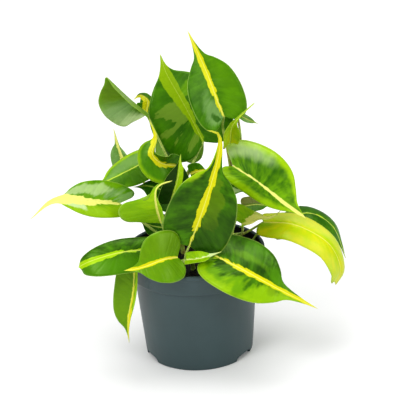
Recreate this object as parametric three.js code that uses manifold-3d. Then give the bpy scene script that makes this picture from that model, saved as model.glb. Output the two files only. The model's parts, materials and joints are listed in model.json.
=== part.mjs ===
// A heart-leaf philodendron with green and yellow leaves, in a round plastic nursery pot.
// Millimetres, +Z up. The origin is the middle of the pot's foot, on the surface that the pot stands on.
// The plant's fullest side faces -Y.

import * as THREE from 'three';
import { mergeVertices } from 'three/addons/utils/BufferGeometryUtils.js';
import Module from 'manifold-3d';

const wasm = await Module();
wasm.setup();

// ---- driving dimensions ----

const GAP = 0.3;

const POT_HEIGHT = 94;
const RIM_RADIUS = 60;
const COLLAR_HEIGHT = 19;
const COLLAR_FOOT_RADIUS = 57;
const BODY_TOP_RADIUS = 53;
const FOOT_RADIUS = 46.5;
const WALL = 1.8;
const FOOT_RING_WIDTH = 3;
const FOOT_RING_HEIGHT = 2.5;
const CENTRE_PAD_RADIUS = 9;
const FLOOR_THICKNESS = 1.5;
const POT_SEGMENTS = 48;

const NOTCH_ANGLES = [85, 205, 325];
const NOTCH_WIDTH = 21;
const NOTCH_HEIGHT = 4.6;
const DRAIN_HOLES = 6;
const DRAIN_RADIUS = 4;
const DRAIN_CIRCLE = 27;

const SOIL_EDGE = 84;
const SOIL_CROWN = 87;
const SOIL_SEGMENTS = 32;

const STEM_RADIUS = 1.9;
const STEM_STEPS = 10;
const PETIOLE_RADIUS = 1;
const PETIOLE_STEPS = 7;

const BLADE_THICKNESS = 0.8;
const BLADE_ROWS = 10;
const BLADE_COLUMNS = 2;
const VEIN_LEAN = 1.6;

// ---- the plant's lines, chosen leaf by leaf ----

// Centre lines of the vine stems, from the soil upwards.
const STEMS = {
  stem_right: [[30, 10, 86.5], [35, 13, 118], [35, 17, 150], [32, 15, 182]],
  stem_centre: [[-10, 6, 87.2], [-12, 8, 118], [-8, 12, 145], [2, 15, 164]],
  stem_left: [[-22, -8, 86.8], [-24, -10, 105], [-22, -11, 124]],
  stem_front: [[-2, -26, 87.5], [-3, -29, 93.5], [-7, -41, 100], [-8.5, -49.5, 104.5]],
};

// Outline of a half blade from the notch at the petiole, round the lobe, to the tip.
// First number: share of the midrib's length. Second number: share of the half's width.
const OUTLINE = [
  [0, 0], [-0.06, 0.14], [-0.13, 0.34], [-0.14, 0.6], [-0.06, 0.84], [0.1, 0.98],
  [0.32, 1], [0.53, 0.84], [0.68, 0.52], [0.78, 0.22], [0.88, 0.07], [1, 0],
];

// rib: points of the midrib from the petiole to the tip. face: where the upper side looks, at the base and at the tip.
// left, right (seen on the upper side, tip up): width of the half, its fold up at the base and at the tip and the
// further turn out to its margin in degrees, how far its body reaches along the rib, and the size of its lobe.
// sweep: how far the halves lean towards the tip. from: the stem, the share of its height and the petiole's bend.
const LEAVES = {
  leaf_crown_right: {
    rib: [[30, 0, 211], [24, 4, 228], [17, 12, 248], [4, 22, 279]], face: [[0, -1, 0.3], [0, -1, 0.3]],
    left: [23, 15, 25, 10, 0.9, 0.8], right: [23, 10, 20, -20, 0.9, 0.6],
    from: ['stem_right', 0.98, [29, 11, 197]],
  },
  leaf_crown_left: {
    rib: [[12, 20, 182], [-2, 30, 211], [-16, 44, 236], [-21, 54, 251]], face: [[-0.1, -1, 0.3], [0, -1, 0.3]],
    left: [35, 5, 20, -20, 1, 0.7], right: [33, 5, 20, 0, 1, 0.6],
    from: ['stem_centre', 0.98, [6, 20, 171]],
  },
  leaf_upper_left: {
    rib: [[-34, 20, 209], [-50, 12, 228], [-65, 4, 248]], face: [[-0.3, -0.9, 0.3], [-0.3, -0.9, 0.3]],
    left: [25, 0, 0, 0, 1.15, 0], right: [18, 80, 80, 0, 1.15, 0], sweep: 0.25,
    from: ['stem_centre', 0.74, [-22, 20, 178]],
  },
  leaf_upper_rear: {
    rib: [[-35, 40, 204], [-33, 42, 214], [-39, 46, 218], [-45, 46, 214]], face: [[0, -1, 0.3], [0, -1, 0.3]],
    left: [9, 0, 0, 0, 1, 0.4], right: [6, 40, 40, 0, 1, 0.4],
    from: ['stem_centre', 0.8, [-16, 40, 180]],
  },
  leaf_far_left: {
    rib: [[-54, 39, 151.5], [-60, 39, 169.5], [-64, 37, 191.5]], face: [[-0.6, -0.8, 0.3], [-0.6, -0.8, 0.3]],
    left: [11, 20, 10, 0, 0.85, 0.2], right: [14, 25, 10, 0, 0.75, 0.3],
    from: ['stem_centre', 0.5, [-34, 28, 139]],
  },
  leaf_twisted: {
    rib: [[-13, 2, 169], [-25, -6, 175], [-32, -6, 184], [-28, 0, 196], [-33, 6, 208]],
    face: [[-0.2, -0.7, 0.7], [-0.2, -0.9, 0.4]],
    left: [17, 0, 0, -20, 0.9, 0.2], right: [10, 50, 60, 0, 0.8, 0.4],
    from: ['stem_centre', 0.76, [-10, 7, 158]],
  },
  leaf_middle_left: {
    rib: [[-32, 14, 172], [-55, 8, 163], [-81, 0, 154]], face: [[0, -0.5, 0.9], [0, -0.5, 0.9]],
    left: [16, 0, 0, -30, 1.05, 0.6], right: [19, 0, 0, -30, 1.05, 0.6],
    from: ['stem_centre', 0.64, [-20, 17, 156]],
  },
  leaf_left_long: {
    rib: [[-60, -16, 145], [-77, -26, 151], [-110, -40, 160], [-132, -46, 147]],
    face: [[0, -0.7, 0.7], [0, -0.7, 0.7]],
    left: [13, 0, 0, -20, 0.85, 1], right: [19, 10, 10, 0, 0.78, 1.3],
    from: ['stem_left', 0.6, [-38, -14, 122]],
  },
  leaf_front_funnel: {
    rib: [[-26, -30, 130.4], [-29, -34, 148.4], [-29, -34, 160.4], [-25, -32, 165.4], [-15, -28, 167.4]],
    face: [[-0.3, -0.8, 0.5], [0, -0.8, 0.6]],
    left: [32, 10, 10, 0, 0.6, 0], right: [12, 60, 50, 0, 0.6, 0], sweep: 0.3,
    from: ['stem_left', 0.75, [-23, -24, 117]],
  },
  leaf_centre_spear: {
    rib: [[-18, -12, 141], [-11, -10, 161], [-7, -4, 181]], face: [[0.2, -1, 0.3], [0.2, -1, 0.3]],
    left: [13, 20, 20, 0, 1, 0.3], right: [12, 20, 20, 0, 1, 0.3],
    from: ['stem_left', 0.93, [-19, -9.5, 132]],
  },
  leaf_front_heart: {
    rib: [[-4, -44, 115], [9, -48, 149], [22, -42, 186], [25, -38, 207], [15, -42, 214]],
    face: [[0, -0.95, 0.4], [0, -1, 0.3]],
    left: [28, 10, 30, -10, 0.8, 0.2], right: [29, 10, 30, -10, 0.8, 0.3], sweep: 0.25,
    from: ['stem_front', 0.9, [-7, -43, 108]],
  },
  leaf_right_glossy: {
    rib: [[36, -2, 167.4], [54, -12, 157.4], [75, -22, 141.4], [94, -26, 126.4]], face: [[0.3, -0.5, 0.8], [0.4, -0.7, 0.6]],
    left: [30, 20, 20, 0, 1.05, 1.4], right: [14, -20, -20, -30, 1.05, 0.6],
    from: ['stem_right', 0.56, [43, 7, 158.5]],
  },
  leaf_right_drooping: {
    rib: [[60, 0, 115], [86, -12, 116], [113, -18, 100], [123, -18, 76], [119, -14, 59]],
    face: [[0.2, -0.6, 0.8], [0.7, -0.7, 0.3]],
    left: [13, 0, 0, -30, 1.25, 0.3], right: [15, 0, 0, -30, 1.4, 0.3],
    from: ['stem_right', 0.1, [46, 7, 103]],
  },
  leaf_right_rear: {
    rib: [[71, 14, 104], [97, 10, 117], [119, 6, 105], [130, 4, 75]], face: [[0.3, -0.3, 0.9], [0.8, -0.4, 0.4]],
    left: [13, 0, 0, -30, 1.05, 0.3], right: [16, 0, 0, -30, 1.05, 0.3],
    from: ['soil', [47, 18, 85.4], [57.5, 17, 98.6]],
  },
  leaf_right_inner: {
    rib: [[44, 24, 120], [55, 24, 121], [67, 22, 120]], face: [[0, -0.5, 0.9], [0, -0.5, 0.9]],
    left: [10, 0, 0, 0, 1.1, 0.6], right: [8, 0, 0, 0, 1.1, 0.6],
    from: ['stem_right', 0.2, [38, 19, 112]],
  },
  leaf_right_funnel: {
    rib: [[41, -8, 117], [53, -14, 124], [65, -16, 125], [75, -16, 132]], face: [[0, -0.7, 0.7], [0, -0.7, 0.7]],
    left: [18, 10, 10, 0, 0.5, 0.8], right: [5, 40, 0, 0, 0.6, 0], sweep: -0.3,
    from: ['stem_right', 0.14, [41, -1, 106]],
  },
  leaf_front_right: {
    rib: [[17, -50, 108.2], [38, -64, 101.4], [65, -74, 87.6], [98, -78, 68.8]], face: [[0.1, -0.6, 0.8], [0.3, -0.8, 0.5]],
    left: [30, 10, 10, -30, 0.82, 0.6], right: [24, 0, 0, -20, 0.92, 0.6],
    from: ['stem_front', 0.3, [8, -40, 99]],
  },
  leaf_front_left: {
    rib: [[-14, -54, 110], [-26, -62, 112], [-43, -66, 108], [-58, -64, 105]], face: [[0, -0.7, 0.7], [0, -0.7, 0.7]],
    left: [20, 0, 0, -30, 0.92, 0.6], right: [23, 34, 14, -10, 0.92, 0.6],
    from: ['stem_front', 0.94, [-13, -49.5, 105]],
  },
  leaf_left_low: {
    rib: [[-36, -44, 114], [-61, -48, 114], [-84, -50, 109], [-96, -46, 102]], face: [[0, -0.7, 0.7], [0, -0.7, 0.7]],
    left: [18, 0, 0, -20, 1.35, 0.6], right: [12, 10, 10, -20, 1.3, 0.6],
    from: ['stem_left', 0.5, [-30, -30, 112]],
  },
  leaf_left_hanging: {
    rib: [[-51, -38, 97], [-53, -40, 76], [-59, -38, 49], [-60, -36, 24]], face: [[-0.3, -0.9, 0.2], [-0.3, -0.9, 0.2]],
    left: [4, 10, 10, 0, 1, 0.2], right: [16, 10, 10, 0, 1, 0.2], sweep: 0.3,
    from: ['stem_left', 0.35, [-42, -27, 106]],
  },
  leaf_inner_left: {
    rib: [[-22, 6, 111], [-35, 4, 115], [-47, 2, 122]], face: [[0, -0.8, 0.6], [0, -0.8, 0.6]],
    left: [10, 0, 0, 0, 1, 0.6], right: [12, 0, 0, 0, 1, 0.6],
    from: ['stem_centre', 0.15, [-17, 7, 105]],
  },
  leaf_front_new: {
    rib: [[-7.6, -51.1, 105.9], [6, -56, 109.2], [22, -54, 113.2]], face: [[0, -0.5, 0.9], [0, -0.5, 0.9]],
    left: [7, 20, 20, 0, 0.9, 0], right: [7, 20, 20, 0, 0.9, 0],
  },
  leaf_crown_sheath: {
    rib: [[34.5, 12, 182.5], [38, -4, 205], [56, -6, 223]], face: [[0.3, -1, 0.3], [0.3, -1, 0.3]],
    left: [10, 30, 30, 0, 0.75, 0], right: [8, 30, 30, 0, 0.75, 0],
  },
  leaf_crown_sliver: {
    rib: [[42, 12, 208], [50, 12, 203], [60, 12, 198]], face: [[0, -0.9, 0.5], [0, -0.9, 0.5]],
    left: [3, 20, 0, 0, 1, 0.3], right: [3, 20, 0, 0, 1, 0.3],
    from: ['stem_right', 0.78, [43.5, 21, 180]],
  },
  leaf_inner_centre: {
    rib: [[-0.5, 10.9, 157.5], [7, 8.8, 160.4], [14, 9, 160.4]], face: [[0, -1, 0.2], [0, -0.9, 0.5]],
    left: [8, 0, 0, 0, 1.1, 0], right: [10, 0, 0, 0, 1.1, 0],
  },
  leaf_inner_dark: {
    rib: [[-12.5, 9, 139], [-34, 5, 150.2], [-49, 3, 151.2]], face: [[0, -0.8, 0.6], [0, -0.8, 0.6]],
    left: [17, 0, 0, 0, 1, 0.5], right: [8, 0, 0, 0, 1, 0],
  },
  leaf_inner_right: {
    rib: [[31, 5, 157.2], [39, 3, 148.7], [47, 2, 140.4]], face: [[0, -0.8, 0.6], [0, -0.8, 0.6]],
    left: [8, 0, 0, 0, 1, 0.6], right: [14, 0, 0, 0, 1, 0.6],
    from: ['stem_right', 0.45, [30, 8, 147]],
  },
  leaf_rear_low: {
    rib: [[4, 28, 118], [4, 52, 122], [3, 76, 110], [2, 92, 84]], face: [[0, 0.1, 1], [0, 0.8, 0.6]],
    left: [26, 10, 10, -20, 1, 1], right: [26, 10, 10, -20, 1, 1],
    from: ['stem_centre', 0.3, [-4, 19, 114]],
  },
  leaf_rear_high: {
    rib: [[-8, 44, 160], [-9, 58, 176], [-10, 72, 192], [-10, 86, 200]], face: [[0, 0.8, 0.6], [0, 0.6, 0.8]],
    left: [22, 10, 10, -20, 1, 0.8], right: [22, 10, 10, -20, 1, 0.8],
    from: ['stem_centre', 0.7, [-8, 30, 153]],
  },
};

// ---- finishes ----

const plastic = new THREE.MeshStandardMaterial({ color: 0x46585a, roughness: 0.5, metalness: 0 });
const peat = new THREE.MeshStandardMaterial({ color: 0x17110b, roughness: 0.95, metalness: 0 });
const stalk = new THREE.MeshStandardMaterial({ color: 0x7d9a3c, roughness: 0.5, metalness: 0 });
const leafGreen = new THREE.MeshStandardMaterial({ color: 0x4a8a16, roughness: 0.35, metalness: 0 });

// ---- helpers ----

const point = (p) => new THREE.Vector3(p[0], p[1], p[2]);

function toSolid(geometry) {
  const bare = geometry.clone();
  bare.deleteAttribute('normal');
  bare.deleteAttribute('uv');
  const merged = mergeVertices(bare, 1e-4);
  const mesh = new wasm.Mesh({
    numProp: 3,
    vertProperties: new Float32Array(merged.attributes.position.array),
    triVerts: new Uint32Array(merged.index.array),
  });
  return new wasm.Manifold(mesh);
}

function toGeometry(solid) {
  const mesh = solid.getMesh();
  const geometry = new THREE.BufferGeometry();
  geometry.setAttribute('position', new THREE.BufferAttribute(mesh.vertProperties, 3));
  geometry.setIndex(new THREE.BufferAttribute(mesh.triVerts, 1));
  return geometry;
}

function turned(profile, segments) {
  const points = profile.map(([r, z]) => new THREE.Vector2(r, z));
  return new THREE.LatheGeometry(points, segments).rotateX(Math.PI / 2);
}

function named(name, geometry, material) {
  const mesh = new THREE.Mesh(geometry, material.clone());
  mesh.name = name;
  return mesh;
}

// ---- pot ----

function makePot() {
  const collarFoot = POT_HEIGHT - COLLAR_HEIGHT;
  const floor = FOOT_RING_HEIGHT + FLOOR_THICKNESS;
  const shell = turned([
    [0, 0],
    [CENTRE_PAD_RADIUS, 0],
    [CENTRE_PAD_RADIUS + 0.5, FOOT_RING_HEIGHT],
    [FOOT_RADIUS - FOOT_RING_WIDTH, FOOT_RING_HEIGHT],
    [FOOT_RADIUS - FOOT_RING_WIDTH, 0],
    [FOOT_RADIUS, 0],
    [BODY_TOP_RADIUS, collarFoot],
    [COLLAR_FOOT_RADIUS, collarFoot],
    [RIM_RADIUS - 0.8, POT_HEIGHT - 4],
    [RIM_RADIUS, POT_HEIGHT - 3],
    [RIM_RADIUS, POT_HEIGHT - 0.8],
    [RIM_RADIUS - 0.8, POT_HEIGHT],
    [RIM_RADIUS - 2.2, POT_HEIGHT],
    [RIM_RADIUS - 2.9, POT_HEIGHT - 1.5],
    [COLLAR_FOOT_RADIUS - WALL, collarFoot + 1.5],
    [BODY_TOP_RADIUS - WALL, collarFoot - 2],
    [FOOT_RADIUS - WALL + 0.35, floor],
    [0, floor],
  ], POT_SEGMENTS);
  let solid = toSolid(shell);
  for (const angle of NOTCH_ANGLES) {
    solid = solid.subtract(makeNotch(angle));
  }
  for (let i = 0; i < DRAIN_HOLES; i += 1) {
    const turn = ((i + 0.5) / DRAIN_HOLES) * 2 * Math.PI;
    const hole = new THREE.CylinderGeometry(DRAIN_RADIUS, DRAIN_RADIUS, 8, 12).rotateX(Math.PI / 2);
    hole.translate(DRAIN_CIRCLE * Math.cos(turn), DRAIN_CIRCLE * Math.sin(turn), floor);
    solid = solid.subtract(toSolid(hole));
  }
  return toGeometry(solid);
}

// A scallop through the foot's wall: low at its ends and full height over its middle.
function makeNotch(angle) {
  const half = NOTCH_WIDTH / 2;
  const shape = new THREE.Shape();
  shape.moveTo(-half, -1);
  shape.lineTo(half, -1);
  shape.lineTo(half, 0);
  shape.lineTo(half * 0.6, NOTCH_HEIGHT * 0.85);
  shape.lineTo(half * 0.3, NOTCH_HEIGHT);
  shape.lineTo(-half * 0.3, NOTCH_HEIGHT);
  shape.lineTo(-half * 0.6, NOTCH_HEIGHT * 0.85);
  shape.lineTo(-half, 0);
  const cutter = new THREE.ExtrudeGeometry(shape, { depth: 12, bevelEnabled: false });
  cutter.rotateX(Math.PI / 2);
  cutter.translate(0, FOOT_RADIUS + 3, 0);
  cutter.rotateZ(THREE.MathUtils.degToRad(angle - 90));
  return toSolid(cutter);
}

function makeSoil() {
  const collarFoot = POT_HEIGHT - COLLAR_HEIGHT;
  const clear = WALL + 0.7;
  return turned([
    [0, FOOT_RING_HEIGHT + FLOOR_THICKNESS + GAP],
    [FOOT_RADIUS - clear, FOOT_RING_HEIGHT + FLOOR_THICKNESS + GAP],
    [BODY_TOP_RADIUS - clear, collarFoot - 1.8],
    [COLLAR_FOOT_RADIUS - clear, collarFoot + 1.8],
    [COLLAR_FOOT_RADIUS - clear + 0.8, SOIL_EDGE],
    [40, (SOIL_EDGE + SOIL_CROWN) / 2],
    [20, SOIL_CROWN - 0.4],
    [0, SOIL_CROWN],
  ], SOIL_SEGMENTS);
}

// ---- stems and petioles ----

function tube(path, radius, sides, steps) {
  const ring = new THREE.Shape();
  for (let i = 0; i < sides; i += 1) {
    const turn = (i / sides) * 2 * Math.PI;
    const x = radius * Math.cos(turn);
    const y = radius * Math.sin(turn);
    if (i === 0) ring.moveTo(x, y);
    else ring.lineTo(x, y);
  }
  return new THREE.ExtrudeGeometry(ring, { steps, extrudePath: path, curveSegments: 1, bevelEnabled: false });
}

const stemCurve = (name) => new THREE.CatmullRomCurve3(STEMS[name].map(point), false, 'catmullrom', 0.5);

function petioleStart(leaf) {
  const [source, place, bend] = leaf.from;
  if (source === 'soil') return point(place);
  const curve = stemCurve(source);
  const centre = curve.getPointAt(place);
  const along = curve.getTangentAt(place);
  const toBend = point(bend).sub(centre);
  const out = toBend.clone().addScaledVector(along, -toBend.dot(along)).normalize();
  const tilt = toBend.angleTo(out);
  return centre.addScaledVector(out, STEM_RADIUS + GAP + PETIOLE_RADIUS * Math.sin(tilt));
}

function makePetiole(leaf) {
  const base = ribFrame(leaf, 0);
  const bend = point(leaf.from[2]);
  const tilt = base.place.clone().sub(bend).angleTo(base.normal);
  const drop = BLADE_THICKNESS + GAP + PETIOLE_RADIUS * Math.abs(Math.sin(tilt));
  const end = base.place.clone().addScaledVector(base.normal, -drop);
  const path = new THREE.CatmullRomCurve3([petioleStart(leaf), bend, end], false, 'catmullrom', 0.5);
  return tube(path, PETIOLE_RADIUS, 6, PETIOLE_STEPS);
}

// ---- leaf blades ----

// Place and directions at a share of the midrib's length. Behind the base the rib runs on straight.
function ribFrame(leaf, share) {
  const curve = new THREE.CatmullRomCurve3(leaf.rib.map(point), false, 'catmullrom', 0.5);
  const length = curve.getLength();
  const inside = THREE.MathUtils.clamp(share, 0, 1);
  const place = curve.getPointAt(inside);
  const along = curve.getTangentAt(inside);
  place.addScaledVector(along, (share - inside) * length);
  const look = point(leaf.face[0]).normalize().lerp(point(leaf.face[1]).normalize(), inside);
  const normal = look.addScaledVector(along, -look.dot(along)).normalize();
  const across = along.clone().cross(normal);
  return { place, along, normal, across, length, inside };
}

function halfOutline(reach, lobe) {
  const points = OUTLINE.map(([along, width]) => {
    const scaled = along < 0 ? along * lobe : along * reach;
    return new THREE.Vector3(scaled, width, 0);
  });
  const shoulder = points[9];
  const neck = points[10];
  const tip = points[11];
  shoulder.x = Math.min(shoulder.x, 0.96);
  neck.x = reach < 1 ? (shoulder.x + 1) / 2 : Math.min(neck.x, 0.985);
  tip.x = 1;
  return new THREE.CatmullRomCurve3(points, false, 'catmullrom', 0.5);
}

function bladePoint(leaf, side, along, distance) {
  const [width, foldBase, foldTip, curl] = side > 0 ? leaf.right : leaf.left;
  const lean = (leaf.sweep ?? 0) * distance;
  const frame = ribFrame(leaf, along + lean / ribFrame(leaf, 0).length);
  const fold = THREE.MathUtils.lerp(foldBase, foldTip, frame.inside) + (curl * distance) / width / 2;
  const angle = THREE.MathUtils.degToRad(fold);
  const place = frame.place.clone();
  place.addScaledVector(frame.across, side * distance * Math.cos(angle));
  return place.addScaledVector(frame.normal, distance * Math.sin(angle));
}

// Rows follow the side veins from the midrib to the margin. The first row is the notch and the last is the tip.
function bladeSurface(leaf) {
  const places = [];
  const grid = {};
  const add = (place) => places.push(place) - 1;
  const notch = add(bladePoint(leaf, 1, 0, 0));
  const tip = add(bladePoint(leaf, 1, 1, 0));
  for (const side of [-1, 1]) {
    const [width, , , , reach, lobe] = side > 0 ? leaf.right : leaf.left;
    const outline = halfOutline(reach, lobe);
    for (let row = 1; row < BLADE_ROWS; row += 1) {
      const share = row / BLADE_ROWS;
      const edge = outline.getPoint(share);
      const root = share ** VEIN_LEAN;
      for (let column = 0; column <= BLADE_COLUMNS; column += 1) {
        const out = column / BLADE_COLUMNS;
        const key = `${column * side},${row}`;
        if (column === 0 && side > 0) continue;
        const along = THREE.MathUtils.lerp(root, edge.x, out);
        grid[column === 0 ? `0,${row}` : key] = add(bladePoint(leaf, side, along, edge.y * width * out));
      }
    }
  }
  const at = (column, row) => (row === 0 ? notch : row === BLADE_ROWS ? tip : grid[`${column},${row}`]);
  const faces = [];
  for (let row = 0; row < BLADE_ROWS; row += 1) {
    for (let column = -BLADE_COLUMNS; column < BLADE_COLUMNS; column += 1) {
      const corners = [at(column, row), at(column + 1, row), at(column + 1, row + 1), at(column, row + 1)];
      if (row < BLADE_ROWS - 1) faces.push([corners[0], corners[2], corners[3]]);
      if (row > 0) faces.push([corners[0], corners[1], corners[2]]);
    }
  }
  const margin = [notch];
  for (let row = 1; row < BLADE_ROWS; row += 1) margin.push(at(BLADE_COLUMNS, row));
  margin.push(tip);
  for (let row = BLADE_ROWS - 1; row > 0; row -= 1) margin.push(at(-BLADE_COLUMNS, row));
  return { places, faces, margin };
}

function makeBlade(leaf) {
  const { places, faces, margin } = bladeSurface(leaf);
  const upper = new THREE.BufferGeometry().setFromPoints(places);
  upper.setIndex(faces.flat());
  upper.computeVertexNormals();
  const normals = upper.attributes.normal;
  const count = places.length;
  const under = places.map((place, i) => {
    const normal = new THREE.Vector3().fromBufferAttribute(normals, i);
    return place.clone().addScaledVector(normal, -BLADE_THICKNESS);
  });
  const all = [...faces];
  for (const [a, b, c] of faces) all.push([a + count, c + count, b + count]);
  for (let i = 0; i < margin.length; i += 1) {
    const a = margin[i];
    const b = margin[(i + 1) % margin.length];
    all.push([b, a, a + count], [b, a + count, b + count]);
  }
  const geometry = new THREE.BufferGeometry().setFromPoints([...places, ...under]);
  geometry.setIndex(all.flat());
  return geometry;
}

// ---- assembly ----

const plant = new THREE.Group();
plant.add(named('pot', makePot(), plastic));
plant.add(named('soil', makeSoil(), peat));
for (const name of Object.keys(STEMS)) {
  plant.add(named(name, tube(stemCurve(name), STEM_RADIUS, 8, STEM_STEPS), stalk));
}
for (const [name, leaf] of Object.entries(LEAVES)) {
  plant.add(named(name, makeBlade(leaf), leafGreen));
  if (leaf.from) plant.add(named(name.replace('leaf_', 'petiole_'), makePetiole(leaf), stalk));
}

export default plant;
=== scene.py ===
# A heart-leaf philodendron with green and yellow leaves, in a slate-grey plastic nursery pot.
# Lengths in the tables are in millimetres, as a grower would measure them. The scene is in metres.
# The pot stands on the floor at the origin, and the plant's fullest side faces -Y.

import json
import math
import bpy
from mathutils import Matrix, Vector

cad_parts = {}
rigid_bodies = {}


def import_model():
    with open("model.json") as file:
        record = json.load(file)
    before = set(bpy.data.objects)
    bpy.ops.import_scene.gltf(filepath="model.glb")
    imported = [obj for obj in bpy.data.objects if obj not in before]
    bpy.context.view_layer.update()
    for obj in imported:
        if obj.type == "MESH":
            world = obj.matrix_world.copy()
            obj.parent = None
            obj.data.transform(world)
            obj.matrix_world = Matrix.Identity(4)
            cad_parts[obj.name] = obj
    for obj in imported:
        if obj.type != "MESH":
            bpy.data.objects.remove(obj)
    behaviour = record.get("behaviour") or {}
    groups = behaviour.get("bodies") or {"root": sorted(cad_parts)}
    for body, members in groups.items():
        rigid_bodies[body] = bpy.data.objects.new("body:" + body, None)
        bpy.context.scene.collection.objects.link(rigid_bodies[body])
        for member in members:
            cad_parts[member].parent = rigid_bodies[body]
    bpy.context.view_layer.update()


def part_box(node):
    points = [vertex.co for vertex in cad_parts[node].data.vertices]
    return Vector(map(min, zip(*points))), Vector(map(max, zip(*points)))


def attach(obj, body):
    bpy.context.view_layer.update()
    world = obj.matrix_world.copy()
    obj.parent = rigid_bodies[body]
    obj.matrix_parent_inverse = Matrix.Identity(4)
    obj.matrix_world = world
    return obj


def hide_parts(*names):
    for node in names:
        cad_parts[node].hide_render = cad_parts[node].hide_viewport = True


bl_info = {
    "name": "Potted Philodendron",
    "version": (1, 0, 0),
    "blender": (4, 5, 0),
    "location": "View3D > Sidebar > Philodendron",
    "description": "Makes a variegated heart-leaf philodendron in a nursery pot",
    "category": "Object",
}

from typing import NamedTuple

import bpy
import numpy as np
from bpy.props import FloatProperty, FloatVectorProperty, IntProperty, PointerProperty
from mathutils import Matrix, Vector

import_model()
pot_low, pot_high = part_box("pot")
soil_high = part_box("soil")[1]
MM = 0.001


# ---- the plant's lines ----


class Leaf(NamedTuple):
    """One leaf. rib: the midrib, from the stalk to the tip. face: where its upper side looks at both ends.
    left, right: each half's width, its fold in degrees at base and tip, its turn to the margin in degrees,
    its reach along the rib and its lobe. sweep: how far the side veins lean on towards the tip.
    stalk: the stem, the share of the stem's length where the stalk leaves it, and the stalk's bend. A stalk
    from the soil has its place there instead of the share."""

    rib: tuple
    face: tuple
    left: tuple
    right: tuple
    sweep: float = 0.0
    stalk: tuple = None


# Centre lines of the vine stems, from the peat upwards.
STEMS = {
    "stem_right": ((30, 10, 86.5), (35, 13, 118), (35, 17, 150), (32, 15, 182)),
    "stem_centre": ((-10, 6, 87.2), (-12, 8, 118), (-8, 12, 145), (2, 15, 164)),
    "stem_left": ((-22, -8, 86.8), (-24, -10, 105), (-22, -11, 124)),
    "stem_front": ((-2, -26, 87.5), (-3, -29, 93.5), (-7, -41, 100), (-8.5, -49.5, 104.5)),
}

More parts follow.
